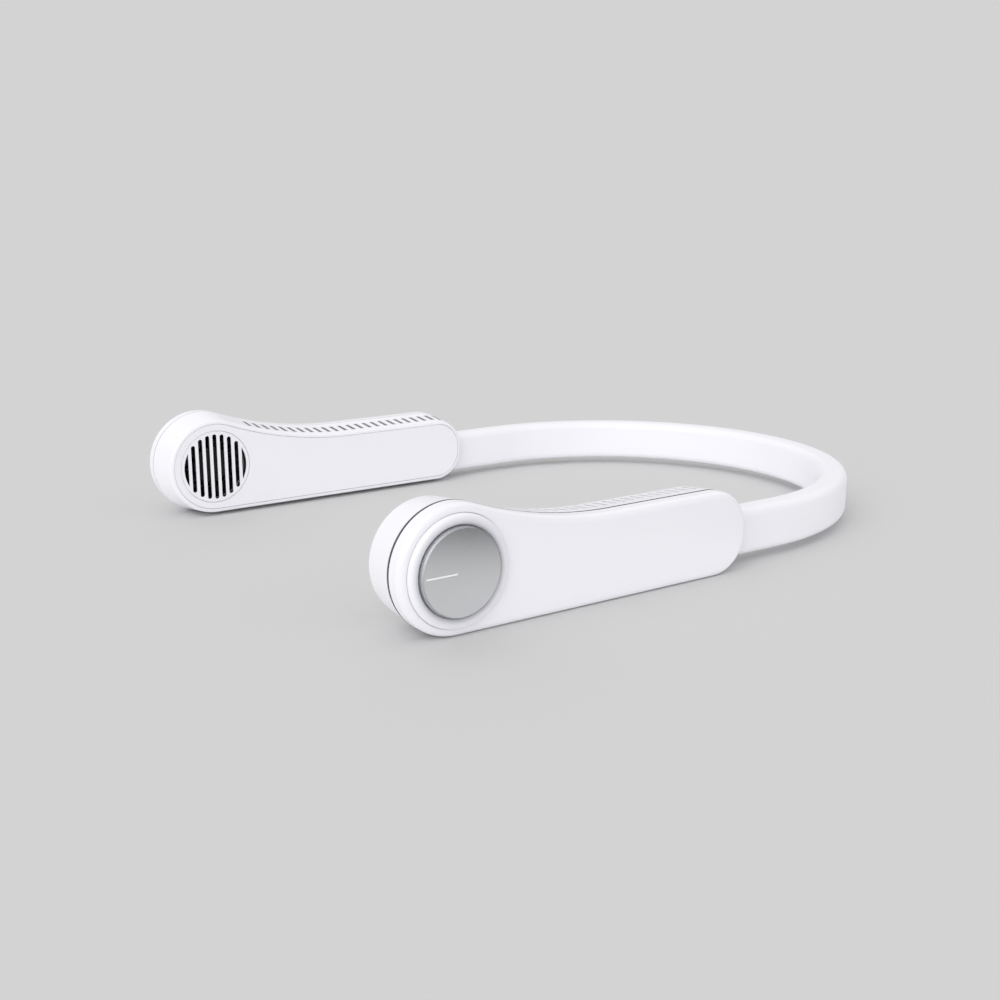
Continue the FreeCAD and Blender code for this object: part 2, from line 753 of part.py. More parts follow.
def make_inner_cover(label):
    """The flat cover inlaid in the arm's inner face, with the round hole for the grille."""
    body = new_body(label)
    outline = new_sketch(body)
    draw_arm_outline(outline, "(dim.cover_inset + dim.cover_seam)")
    plate = pad(body, outline, "dim.cover_thick")
    dress(body, "Fillet", plate, "0", "dim.cover_edge")
    hole = new_sketch(body)
    draw_circle(hole, f"{GRILLE_RADIUS} + dim.grille_seam")
    pocket(body, hole, "dim.cover_thick", turned=True)
    return body


def make_intake_grille(label):
    """The round intake grille: upright slots with round ends, and a crescent at each side.

    Its back is hollowed, so that the bars are thinner than the rim.
    """
    body = new_body(label)
    rim = new_sketch(body)
    draw_circle(rim, GRILLE_RADIUS)
    disc = pad(body, rim, "dim.cover_thick")
    dress(body, "Fillet", disc, "0", "dim.grille_edge")
    slots = new_sketch(body)
    side_slots = SIZES["grille_side_slots"]
    for step in range(-side_slots, side_slots + 1):
        offset = f"({step} * {GRILLE_PITCH})"
        half_length = f"sqrt({GRILLE_FIELD} ^ 2 - {offset} ^ 2)"
        draw_slot(slots, offset, GRILLE_SLOT, half_length)
    pocket(body, slots, "dim.cover_thick", turned=True)
    for side in (-1, 1):
        crescent = new_sketch(body)
        draw_crescent(crescent, side)
        pocket(body, crescent, "dim.cover_thick", turned=True)
    back = new_sketch(body, "dim.cover_thick")
    draw_circle(back, GRILLE_FIELD)
    pocket(body, back, "dim.cover_thick - dim.grille_web")
    return body


def draw_crescent(sketch, side):
    """Draws the grille's outermost slot: a straight side closed by the field's circle."""
    field = number(GRILLE_FIELD)
    chord_x = f"{side} * ((dim.grille_side_slots + 1) * {GRILLE_PITCH} - {GRILLE_SLOT} / 2)"
    half = math.acos(abs(number(chord_x)) / field)
    middle = 0 if side > 0 else math.pi
    curve = sketch.addGeometry(arc((0, 0), field, middle - half, middle + half))
    low = (field * math.cos(middle - half), field * math.sin(middle - half))
    high = (field * math.cos(middle + half), field * math.sin(middle + half))
    chord = sketch.addGeometry(line(low, high))
    sketch.addConstraint(Sketcher.Constraint("Coincident", curve, 3, -1, 1))
    sketch.addConstraint(Sketcher.Constraint("Coincident", curve, 1, chord, 1))
    sketch.addConstraint(Sketcher.Constraint("Coincident", curve, 2, chord, 2))
    sketch.addConstraint(Sketcher.Constraint("Vertical", chord))
    set_size(sketch, "Radius", GRILLE_FIELD, curve)
    set_size(sketch, "DistanceX", chord_x, -1, 1, chord, 1)


# Inside of an arm


def make_chassis_plate(label):
    """The plate across the arm that carries the motor's bearing tube and the boards."""
    body = new_body(label)
    outline = new_sketch(body, PLATE_LOW)
    draw_arm_outline(outline, PLATE_INSET, f"({ANCHOR_START} + {PLATE_INSET} - dim.plate_end_gap)")
    pad(body, outline, "dim.plate_thick")
    tube = new_sketch(body, TUBE_LOW)
    draw_circle(tube, "dim.motor_tube")
    pad(body, tube, f"{PLATE_TOP} - {TUBE_LOW}")
    bore = new_sketch(body, PLATE_TOP)
    draw_circle(bore, "dim.bearing_radius + dim.running_gap")
    pocket(body, bore, f"{PLATE_TOP} - {TUBE_LOW}")
    post = new_sketch(body, PLATE_TOP)
    draw_circle(post, "dim.standoff_radius", f"{BOARD_RADIUS} - dim.standoff_edge")
    polar(body, pad(body, post, "dim.standoff"), post, "dim.standoff_count")
    holes = new_sketch(body, PLATE_TOP)
    for x, y in COVER_SCREWS:
        draw_circle(holes, "dim.screw_radius + dim.fit_gap", x, y)
    pocket(body, holes, "dim.plate_thick")
    return body


def make_fan_duct(label):
    """The scroll under the impeller and the duct floor that leads the air along the arm."""
    body = new_body(label)
    high = f"{PLATE_LOW} - {FLOOR_TOP}"
    outside = f"({SCROLL_RADIUS} + dim.duct_wall)"
    scroll = new_sketch(body, FLOOR_TOP)
    draw_sector(
        scroll, "-dim.scroll_shift", "0", outside,
        "dim.duct_wall", "dim.scroll_from", "dim.scroll_to",
    )
    pad(body, scroll, high)
    across, along = "cos(dim.scroll_to * 1 deg)", "sin(dim.scroll_to * 1 deg)"
    end = f"({ANCHOR_START} - dim.fit_gap)"
    floor = new_sketch(body, FLOOR_TOP)
    draw_polygon(floor, [
        (f"{SCROLL_RADIUS} * {across} - dim.scroll_shift", f"{SCROLL_RADIUS} * {along}"),
        (f"{outside} * {across} - dim.scroll_shift", f"{outside} * {along} - dim.duct_wall / 2"),
        ("dim.duct_start", DUCT_LOW),
        (end, DUCT_LOW),
        (end, DUCT_TOP),
        ("dim.duct_start", DUCT_TOP),
    ])
    pad(body, floor, high)
    return body


def make_battery(label):
    """The flat lithium cell on the arm's floor, under the duct."""
    body = new_body(label)
    section = new_sketch(body, "dim.battery_start", "YZ_Plane")
    low = f"({CAVITY_LOW} + dim.fit_gap)"
    top = f"({CABLE_Y} - dim.cable_radius - dim.battery_gap)"
    draw_round_box(section, low, top, FLOOR_TOP, f"{PLATE_LOW} - dim.battery_gap", "dim.battery_round")
    pad(body, section, f"{ANCHOR_START} - dim.battery_end_gap - dim.battery_start")
    return body


def make_power_board(label):
    """The small board under the chassis plate that takes the charging current."""
    body = new_body(label)
    outline = new_sketch(body, POWER_LOW)
    end = "dim.power_start + dim.power_long"
    low, top = f"{CAVITY_LOW} + dim.power_low_gap", f"{DUCT_LOW} - dim.power_top_gap"
    draw_box(outline, "dim.power_start", end, low, top)
    pad(body, outline, "dim.power_thick")
    return body


def make_charge_socket(label):
    """The charging socket: a flat round-ended metal shell with a contact tongue inside."""
    body = new_body(label)
    mouth_y = "(dim.head_radius - dim.socket_inset)"
    shell = new_sketch(body, mouth_y, "XZ_Plane")
    draw_socket_section(shell, "0")
    pad(body, shell, "dim.socket_deep", turned=True)
    hollow = new_sketch(body, mouth_y, "XZ_Plane")
    draw_socket_section(hollow, "dim.socket_wall")
    pocket(body, hollow, "dim.socket_hollow")
    tongue = new_sketch(body, f"{mouth_y} - dim.socket_hollow", "XZ_Plane")
    draw_box(
        tongue,
        f"{SOCKET_X} - dim.tongue_width / 2", f"{SOCKET_X} + dim.tongue_width / 2",
        f"{SOCKET_Z} - dim.tongue_thick / 2", f"{SOCKET_Z} + dim.tongue_thick / 2",
    )
    pad(body, tongue, "dim.tongue_long")
    return body


def draw_socket_section(sketch, inset):
    """Draws the socket's round-ended section, drawn in by an inset."""
    draw_round_box(
        sketch,
        f"{SOCKET_X} - dim.socket_width / 2 + {inset}",
        f"{SOCKET_X} + dim.socket_width / 2 - {inset}",
        f"{SOCKET_Z} - dim.socket_high / 2 + {inset}",
        f"{SOCKET_Z} + dim.socket_high / 2 - {inset}",
        f"dim.socket_round - {inset}",
    )


def make_lead(label):
    """The straight lead from the band's cable to the power board."""
    lead = doc.addObject("Part::Cylinder", label)
    lead.Label = label
    bind(lead, {"Radius": "dim.cable_radius - dim.fit_gap", "Height": f"{ANCHOR_START} - dim.lead_start"})
    place_in_arm(lead, "dim.lead_start", CABLE_Y, f"{POWER_LOW} - dim.cable_radius", ALONG)
    return lead


def make_band_anchor(label):
    """The block that grips the band's spring inside the arm's tail."""
    body = new_body(label)
    outline = new_sketch(body, FLOOR_TOP)
    low, top = f"{CAVITY_LOW} + dim.anchor_gap", f"{BAND_TOP} + dim.anchor_cap"
    draw_box(outline, ANCHOR_START, ANCHOR_END, low, top)
    pad(body, outline, f"{PLATE_TOP} - {FLOOR_TOP}")
    slot = new_sketch(body, ANCHOR_END, "YZ_Plane")
    draw_box(
        slot,
        f"{SPRING_Y} - {SPRING_HIGH} / 2 - dim.fit_gap",
        f"{SPRING_Y} + {SPRING_HIGH} / 2 + dim.fit_gap",
        f"{BAND_DEPTH} - dim.spring_thick / 2 - dim.fit_gap",
        f"{BAND_DEPTH} + dim.spring_thick / 2 + dim.fit_gap",
    )
    pocket(body, slot, "dim.anchor_long")
    cable = new_sketch(body, ANCHOR_END, "YZ_Plane")
    draw_circle(cable, "dim.cable_radius + dim.fit_gap", CABLE_Y, BAND_DEPTH)
    pocket(body, cable, "dim.anchor_long")
    screw = new_sketch(body, PLATE_TOP)
    draw_circle(screw, "dim.screw_radius + dim.fit_gap", ANCHOR_SCREW_X, SPRING_Y)
    pocket(body, screw, f"{PLATE_TOP} - {FLOOR_TOP}")
    return body


def make_screw(label, x, y, head_low, head_first, length):
    """One screw: a flat head and a plain shank, standing along the arm's thickness."""
    head = doc.addObject("Part::Cylinder", f"{label}_head")
    bind(head, {"Radius": "dim.screw_head", "Height": "dim.screw_head_high"})
    place_in_arm(head, x, y, head_low)
    shank = doc.addObject("Part::Cylinder", f"{label}_shank")
    bind(shank, {"Radius": "dim.screw_radius - dim.running_gap", "Height": length})
    shank_low = f"{head_low} + dim.screw_head_high" if head_first else f"{head_low} - ({length})"
    place_in_arm(shank, x, y, shank_low)
    screw = doc.addObject("Part::Fuse", label)
    screw.Base = head
    screw.Tool = shank
    return screw


def make_screws(label):
    """An arm's screws: those that hold the outer shell and the one through the band's spring."""
    group = doc.addObject("Part::Compound", label)
    group.Label = label
    screws = []
    grip = f"dim.plate_thick + {BOSS_GRIP} - dim.fit_gap"
    for index, (x, y) in enumerate(COVER_SCREWS):
        head_low = f"{PLATE_LOW} - dim.screw_head_high"
        screws.append(make_screw(f"{label}_{index}", x, y, head_low, True, grip))
    depth = f"{PLATE_TOP} - dim.cover_thick - dim.screw_end_gap"
    screws.append(make_screw(f"{label}_anchor", ANCHOR_SCREW_X, SPRING_Y, PLATE_TOP, False, depth))
    group.Links = screws
    return group


# Blower


def make_impeller(label):
    """The blower wheel: a hub cup and a back disc with a ring of curved blades."""
    body = new_body(label)
    section = new_sketch(body, role="XZ_Plane")
    shaft_hole = "dim.shaft_radius + dim.press_gap"
    draw_polygon(section, [
        (shaft_hole, HUB_LOW),
        ("dim.hub_radius", HUB_LOW),
        ("dim.hub_radius", DISC_LOW),
        (IMPELLER_RADIUS, DISC_LOW),
        (IMPELLER_RADIUS, DISC_TOP),
        (HUB_BORE, DISC_TOP),
        (HUB_BORE, CAP_TOP),
        (shaft_hole, CAP_TOP),
    ])
    revolve(body, section)
    blade = new_sketch(body, f"{DISC_LOW} + dim.impeller_disc / 2")
    draw_sector(
        blade,
        f"(dim.hub_radius + {BLADE_FIELD} * dim.blade_middle)",
        f"({BLADE_FIELD} * dim.blade_rise)",
        f"({BLADE_FIELD} * dim.blade_curve)",
        "dim.blade_thick", "dim.blade_start", "dim.blade_end",
    )
    high = f"{DISC_LOW} + dim.impeller_disc / 2 - {HUB_LOW}"
    turning = new_sketch(body)
    draw_circle(turning, "dim.shaft_radius")
    polar(body, pad(body, blade, high, turned=True), turning, "dim.blade_count")
    return body


def make_tube(label, outside, inside, low, high):
    """A plain round sleeve about the fan axis."""
    body = new_body(label)
    ring = new_sketch(body, low)
    draw_circle(ring, outside)
    draw_circle(ring, inside)
    pad(body, ring, high)
    return body


def make_shaft(label):
    """The motor shaft, pressed into the impeller's hub and running in the bearing."""
    body = new_body(label)
    section = new_sketch(body, HUB_LOW)
    draw_circle(section, "dim.shaft_radius")
    pad(body, section, f"{PLATE_TOP} - {HUB_LOW} - dim.fit_gap")
    return body


def make_stator(label):
    """The motor's toothed iron core on the bearing tube, with a coil on each tooth."""
    body = new_body(label)
    hub = new_sketch(body, STATOR_LOW)
    hub_radius = f"({STATOR_BORE} + dim.stator_hub)"
    draw_circle(hub, hub_radius)
    draw_circle(hub, STATOR_BORE)
    pad(body, hub, STATOR_HIGH)
    tooth = new_sketch(body, STATOR_LOW)
    root = f"({STATOR_BORE} + dim.stator_hub / 2)"
    shoe_tip = f"sqrt({STATOR_RADIUS} ^ 2 - (dim.shoe_width / 2) ^ 2)"
    half_tooth, half_shoe = "dim.tooth_width / 2", "dim.shoe_width / 2"
    shoe_back = f"({shoe_tip} - dim.shoe_thick)"
    draw_polygon(tooth, [
        (root, f"-{half_tooth}"), (shoe_back, f"-{half_tooth}"), (shoe_back, f"-{half_shoe}"),
        (shoe_tip, f"-{half_shoe}"), (shoe_tip, half_shoe),
        (shoe_back, half_shoe), (shoe_back, half_tooth), (root, half_tooth),
    ])
    polar(body, pad(body, tooth, STATOR_HIGH), tooth, "dim.tooth_count")
    coil = new_sketch(body, f"{STATOR_LOW} - dim.coil_high")
    draw_box(coil, hub_radius, shoe_back, "-dim.coil_width / 2", "dim.coil_width / 2")
    polar(body, pad(body, coil, f"{STATOR_HIGH} + 2 * dim.coil_high"), coil, "dim.tooth_count")
    return body


# Speed dial


def make_dial_collar(label):
    """The ring round the dial, with a half-round bead that stands out of the arm's face."""
    body = new_body(label)
    section = new_sketch(body, role="XZ_Plane")
    inside, outside = number(COLLAR_BORE), number(COLLAR_RADIUS)
    low, face = number(DIAL_FLOOR), number("dim.arm_thick")
    bead = (outside - inside) / 2
    section.addGeometry(line((inside, low), (outside, low)))
    section.addGeometry(line((outside, low), (outside, face)))
    section.addGeometry(arc((inside + bead, face), bead, 0, math.pi))
    section.addGeometry(line((inside, face), (inside, low)))
    section.addConstraint(Sketcher.Constraint("Coincident", 0, 2, 1, 1))
    section.addConstraint(Sketcher.Constraint("Coincident", 3, 2, 0, 1))
    join_tangent(section, [(1, 2, 2, 1), (2, 2, 3, 1)])
    section.addConstraint(Sketcher.Constraint("Horizontal", 0))
    section.addConstraint(Sketcher.Constraint("Vertical", 1))
    section.addConstraint(Sketcher.Constraint("Vertical", 3))
    set_point(section, 0, 1, COLLAR_BORE, DIAL_FLOOR)
    set_size(section, "DistanceX", "dim.collar_width", 0, 1, 0, 2)
    set_size(section, "DistanceY", "dim.dial_sink", 1, 1, 1, 2)
    revolve(body, section)
    return body


def make_dial_knob(label):
    """The grey dial: a disc with a chamfered edge, a stem and a groove for its pointer."""
    body = new_body(label)
    section = new_sketch(body, role="XZ_Plane")
    stem_low = f"{BOARD_TOP} + dim.dial_float"
    disc_low = f"{DIAL_FLOOR} + dim.dial_float"
    draw_polygon(section, [
        ("0", stem_low),
        ("dim.stem_radius", stem_low),
        ("dim.stem_radius", disc_low),
        (DIAL_RADIUS, disc_low),
        (DIAL_RADIUS, DIAL_TOP),
        ("0", DIAL_TOP),
    ])
    dress(body, "Chamfer", revolve(body, section), DIAL_TOP, "dim.dial_edge")
    groove = new_sketch(body, DIAL_TOP)
    draw_pointer(groove, "0")
    pocket(body, groove, "dim.pointer_sink")
    return body


def draw_pointer(sketch, inset):
    """Draws the pointer line, which runs from near the dial's rim to its middle."""
    draw_box(
        sketch,
        f"{inset} + dim.pointer_edge - {DIAL_RADIUS}", f"-dim.pointer_tail - {inset}",
        f"{inset} - dim.pointer_width / 2", f"dim.pointer_width / 2 - {inset}",
    )


def make_dial_pointer(label):
    """The white line inlaid in the dial."""
    body = new_body(label)
    outline = new_sketch(body, f"{DIAL_TOP} - dim.pointer_sink")
    draw_pointer(outline, "dim.press_gap")
    pad(body, outline, "dim.pointer_sink")
    return body


def make_blank_cap(label):
    """The plain disc that takes the dial's place on the arm with no dial."""
    body = new_body(label)
    outline = new_sketch(body, DIAL_FLOOR)
    draw_circle(outline, DIAL_RADIUS)
    dress(body, "Chamfer", pad(body, outline, "dim.dial_sink + dim.dial_rise"), DIAL_TOP, "dim.dial_edge")
    return body


def make_control_board(label):
    """The round control board on the chassis plate's standoffs."""
    body = new_body(label)
    outline = new_sketch(body, BOARD_LOW)
    draw_circle(outline, BOARD_RADIUS)
    pad(body, outline, "dim.board_thick")
    return body


def make_encoder_body(label):
    """The rotary encoder's square housing on the control board."""
    body = new_body(label)
    outline = new_sketch(body, BOARD_TOP)
    half = "dim.encoder_half"
    draw_round_box(outline, f"-{half}", half, f"-{half}", half, "dim.encoder_round")
    pad(body, outline, ENCODER_HIGH)
    bore = new_sketch(body, f"{BOARD_TOP} + {ENCODER_HIGH}")
    draw_circle(bore, "dim.encoder_rotor_radius + dim.running_gap")
    pocket(body, bore, f"{ENCODER_HIGH} - dim.fit_gap")
    return body


def make_encoder_rotor(label):
    """The encoder's turning ring on the dial's stem."""
    low = f"{BOARD_TOP} + dim.dial_float"
    high = f"{ENCODER_HIGH} - dim.dial_float - dim.fit_gap"
    return make_tube(label, "dim.encoder_rotor_radius", "dim.stem_radius + dim.press_gap", low, high)


# Neck band


def draw_band_section(sketch, side):
    """Draws the band's section with its spring's slot and its cable's bore, at one side."""
    middle = f"({side} * {BAND_RADIUS})"
    slot = "(dim.spring_thick / 2 + dim.fit_gap)"
    draw_round_box(
        sketch,
        f"{middle} - {BAND_THICK} / 2", f"{middle} + {BAND_THICK} / 2",
        f"-{BAND_HEIGHT} / 2", f"{BAND_HEIGHT} / 2", "dim.band_round",
    )
    draw_box(
        sketch,
        f"{middle} - {slot}", f"{middle} + {slot}",
        f"{SPRING_RISE} - {SPRING_HIGH} / 2 - dim.fit_gap",
        f"{SPRING_RISE} + {SPRING_HIGH} / 2 + dim.fit_gap",
    )
    draw_circle(sketch, "dim.cable_radius + dim.fit_gap", middle, CABLE_RISE)


def make_band_rear(label):
    """The rear stretch of the band's soft sleeve."""
    body = new_body(label)
    section = new_sketch(body, role="XZ_Plane")
    draw_band_section(section, "1")
    revolve(body, section, "2 * dim.band_rear_half")
    place_in_band(body)
    pieces.append(body)


def make_band_side(label):
    """The side stretch of the band's soft sleeve, from the rear stretch into the left arm."""
    body = new_body(label)
    inside = f"(dim.band_straight + dim.arm_reach - {ANCHOR_END} - dim.fit_gap)"
    path = new_sketch(body)
    radius, start = number(BAND_RADIUS), -number(inside)
    end_angle = math.radians(-number("dim.band_rear_half"))
    path.addGeometry(line((start, -radius), (0, -radius)))
    path.addGeometry(arc((0, 0), radius, -math.pi / 2, end_angle))
    path.addConstraint(Sketcher.Constraint("Tangent", 0, 2, 1, 1))
    path.addConstraint(Sketcher.Constraint("Coincident", 1, 3, -1, 1))
    path.addConstraint(Sketcher.Constraint("Horizontal", 0))
    set_size(path, "Radius", BAND_RADIUS, 1)
    set_size(path, "DistanceX", f"-{inside}", -1, 1, 0, 1)
    set_size(path, "DistanceX", f"{BAND_RADIUS} * cos(dim.band_rear_half * 1 deg)", -1, 1, 1, 2)
    section = new_sketch(body, f"-{inside}", "YZ_Plane")
    draw_band_section(section, "-1")
    sweep(body, section, path)
    place_in_band(body)
    pieces.append(body)
    return body


def draw_band_path(sketch, inside):
    """Draws the band's whole centre line, from inside one arm round to inside the other."""
    radius, start = number(BAND_RADIUS), -number(inside)
    sketch.addGeometry(line((start, -radius), (0, -radius)))
    sketch.addGeometry(arc((0, 0), radius, -math.pi / 2, math.pi / 2))
    sketch.addGeometry(line((0, radius), (start, radius)))
    join_tangent(sketch, [(0, 2, 1, 1), (1, 2, 2, 1)])
    sketch.addConstraint(Sketcher.Constraint("Coincident", 1, 3, -1, 1))
    sketch.addConstraint(Sketcher.Constraint("Horizontal", 0))
    sketch.addConstraint(Sketcher.Constraint("Horizontal", 2))
    set_size(sketch, "Radius", BAND_RADIUS, 1)
    set_size(sketch, "DistanceX", f"-{inside}", -1, 1, 0, 1)
    set_size(sketch, "DistanceX", f"-{inside}", -1, 1, 2, 2)


def make_band_spring(label):
    """The flat steel spring through the band, gripped in both arms."""
    body = new_body(label)
    inside = f"({BAND_X} - {ANCHOR_START} - dim.fit_gap)"
    path = new_sketch(body, SPRING_RISE)
    draw_band_path(path, inside)
    section = new_sketch(body, f"-{inside}", "YZ_Plane")
    draw_box(
        section,
        f"-{BAND_RADIUS} - dim.spring_thick / 2", f"-{BAND_RADIUS} + dim.spring_thick / 2",
        f"{SPRING_RISE} - {SPRING_HIGH} / 2", f"{SPRING_RISE} + {SPRING_HIGH} / 2",
    )
    sweep(body, section, path)
    eyes = new_sketch(body, role="XZ_Plane")
    draw_circle(eyes, "dim.screw_radius + dim.fit_gap", f"{ANCHOR_SCREW_X} - {BAND_X}", SPRING_RISE)
    span = f"2 * ({BAND_RADIUS} + {BAND_THICK})"
    cut = body.newObject("PartDesign::Pocket", f"{label}_eyes")
    cut.Profile = eyes
    cut.Midplane = True
    cut.setExpression("Length", span)
    doc.recompute()
    place_in_band(body)
    pieces.append(body)


def make_band_cable(label):
    """The cable through the band that joins the two arms."""
    body = new_body(label)
    inside = f"({BAND_X} - {ANCHOR_START})"
    path = new_sketch(body, CABLE_RISE)
    draw_band_path(path, inside)
    section = new_sketch(body, f"-{inside}", "YZ_Plane")
    draw_circle(section, "dim.cable_radius", f"-{BAND_RADIUS}", CABLE_RISE)
    sweep(body, section, path)
    place_in_band(body)
    pieces.append(body)


# Building the fan


def build():
    """Builds every piece of the fan."""
    plain_frame = make_arm_frame("plain_arm_frame")
    place_in_arm(plain_frame)
    cut_left("left_arm_frame", plain_frame, make_port_cutter("port_cutter"))
    mirror_right(plain_frame, "right_arm_frame")
    plain_shell = make_outer_shell("plain_outer_shell")
    place_in_arm(plain_shell)
    cut_left("left_outer_shell", plain_shell, make_stem_cutter("stem_cutter"))
    mirror_right(plain_shell, "right_outer_shell")

    paired = {
        "inner_cover": make_inner_cover,
        "intake_grille": make_intake_grille,
        "chassis_plate": make_chassis_plate,
        "fan_duct": make_fan_duct,
        "battery": make_battery,
        "power_board": make_power_board,
        "band_anchor": make_band_anchor,
        "impeller": make_impeller,
        "motor_shaft": make_shaft,
        "motor_stator": make_stator,
        "dial_collar": make_dial_collar,
    }
    for name, make in paired.items():
        finish_pair(make(f"left_{name}"), name)
    rotor_low = f"{CAP_TOP} + dim.fit_gap"
    rotor_high = f"{DISC_TOP} - dim.rotor_end_gap - {CAP_TOP} - dim.fit_gap"
    rotor = make_tube("left_rotor_ring", ROTOR_OUTSIDE, ROTOR_INSIDE, rotor_low, rotor_high)
    finish_pair(rotor, "rotor_ring")
    bearing_bore = "dim.shaft_radius + dim.running_gap"
    bearing_high = f"{PLATE_TOP} - {TUBE_LOW}"
    bearing = make_tube("left_bearing", "dim.bearing_radius", bearing_bore, TUBE_LOW, bearing_high)
    finish_pair(bearing, "bearing")
    for name, make in {"lead": make_lead, "screws": make_screws}.items():
        piece = make(f"left_{name}")
        pieces.append(piece)
        mirror_right(piece, f"right_{name}")

    for name, make in {
        "charge_socket": make_charge_socket,
        "control_board": make_control_board,
        "encoder_body": make_encoder_body,
        "encoder_rotor": make_encoder_rotor,
        "dial_knob": make_dial_knob,
        "dial_pointer": make_dial_pointer,
    }.items():
        finish_left(make(name))
    plain_cap = make_blank_cap("plain_cap")
    place_in_arm(plain_cap)
    mirror_right(plain_cap, "right_blank_cap")

    make_band_rear("band_rear_sleeve")
    side = make_band_side("band_left_sleeve")
    mirror_right(side, "band_right_sleeve")
    make_band_spring("band_spring")
    make_band_cable("band_cable")


def write():
    """Checks every object and writes each piece to a file of its own."""
    doc.recompute()
    for item in doc.Objects:
        if "Invalid" in item.State or "Error" in item.State:
            raise RuntimeError(f"{item.Label} failed to build")
    for piece in pieces:
        if piece.Shape.isNull() or not piece.Shape.isValid() or not piece.Shape.Solids:
            raise RuntimeError(f"{piece.Label} is not a valid solid")
    os.makedirs("parts", exist_ok=True)
    for piece in pieces:
        piece.Shape.exportStep(f"parts/{piece.Label}.step")
        solids = len(piece.Shape.Solids)
        print(f"{piece.Label}: {solids} solid(s), {piece.Shape.Volume:.1f} mm3")


build()
write()
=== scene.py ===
"""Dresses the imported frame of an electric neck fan: finishes, soft band, light and camera.

The frame holds every rigid piece in its place. This file gives each of them its finish, lays
the soft sleeve of the neck band with the spring and the cable inside it, and sets the studio.
Sizes are in millimetres and in the frame's own axes, unless a name says otherwise.
"""

import logging
import math
from dataclasses import dataclass
from enum import Enum
from typing import Any, Iterator

import bmesh
import bpy
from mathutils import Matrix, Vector


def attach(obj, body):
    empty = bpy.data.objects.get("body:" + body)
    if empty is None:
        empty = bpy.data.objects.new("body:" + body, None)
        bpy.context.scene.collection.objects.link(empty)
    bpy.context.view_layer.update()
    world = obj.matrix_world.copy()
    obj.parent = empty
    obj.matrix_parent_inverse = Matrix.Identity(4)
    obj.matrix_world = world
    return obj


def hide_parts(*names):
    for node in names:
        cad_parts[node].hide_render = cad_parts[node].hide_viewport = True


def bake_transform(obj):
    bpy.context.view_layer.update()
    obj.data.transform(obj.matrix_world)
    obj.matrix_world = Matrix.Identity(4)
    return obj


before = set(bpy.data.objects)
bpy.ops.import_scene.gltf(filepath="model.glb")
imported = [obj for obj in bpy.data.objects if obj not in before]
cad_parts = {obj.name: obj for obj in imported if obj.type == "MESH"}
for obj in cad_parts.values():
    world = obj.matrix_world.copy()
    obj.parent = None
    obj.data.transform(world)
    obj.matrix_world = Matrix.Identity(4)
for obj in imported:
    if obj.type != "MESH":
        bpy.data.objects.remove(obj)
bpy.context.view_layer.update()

LOG = logging.getLogger("neck_fan")
MM = 0.001
# A wave texture of scale 1 repeats at this length.
WAVE_LENGTH = 2 * math.pi / 20


def linear(hex_colour: str) -> tuple[float, float, float, float]:
    """Turns an sRGB hex colour into the linear colour that shaders take.

    Args:
        hex_colour: Six hex digits after a number sign.

    Returns:
        Linear red, green and blue, and an alpha of 1.
    """
    channels = [int(hex_colour[at:at + 2], 16) / 255 for at in (1, 3, 5)]
    red, green, blue = (
        value / 12.92 if value <= 0.04045 else ((value + 0.055) / 1.055) ** 2.4
        for value in channels
    )
    return red, green, blue, 1.0


def add_node(
    tree: bpy.types.NodeTree,
    kind: str,
    settings: dict[str | int, Any] | None = None,
    links: dict[str | int, bpy.types.NodeSocket] | None = None,
) -> bpy.types.Node:
    """Adds one node to a tree, sets it up and connects what feeds it.

    Args:
        tree: The node tree of a material or of the world.
        kind: Type name of the node, without its common first part.
        settings: Values by the name of a property, or by the name or number of an input.
        links: Outputs of other nodes, by the name or number of the input that they feed.

    Returns:
        The new node.
    """
    node = tree.nodes.new(f"ShaderNode{kind}")
    for name, value in (settings or {}).items():
        if isinstance(name, str) and hasattr(node, name):
            setattr(node, name, value)
        else:
            node.inputs[name].default_value = value
    for name, output in (links or {}).items():
        tree.links.new(output, node.inputs[name])
    return node


def between(
    tree: bpy.types.NodeTree, value: bpy.types.NodeSocket, low: float, high: float
) -> bpy.types.NodeSocket:
    """Tells where a length lies between two bounds.

    Args:
        tree: The material's node tree.
        value: A length in metres.
        low: Lower bound in millimetres.
        high: Upper bound in millimetres.

    Returns:
        1 between the bounds and 0 elsewhere.
    """
    settings = {"operation": "COMPARE", 1: (low + high) / 2 * MM, 2: (high - low) / 2 * MM}
    return add_node(tree, "Math", settings, {0: value}).outputs[0]


def empty_material(name: str) -> bpy.types.Material:
    """Makes a material that has no nodes yet.

    Args:
        name: Name of the material.

    Returns:
        The material.
    """
    material = bpy.data.materials.new(name)
    material.use_nodes = True
    material.node_tree.nodes.clear()
    return material


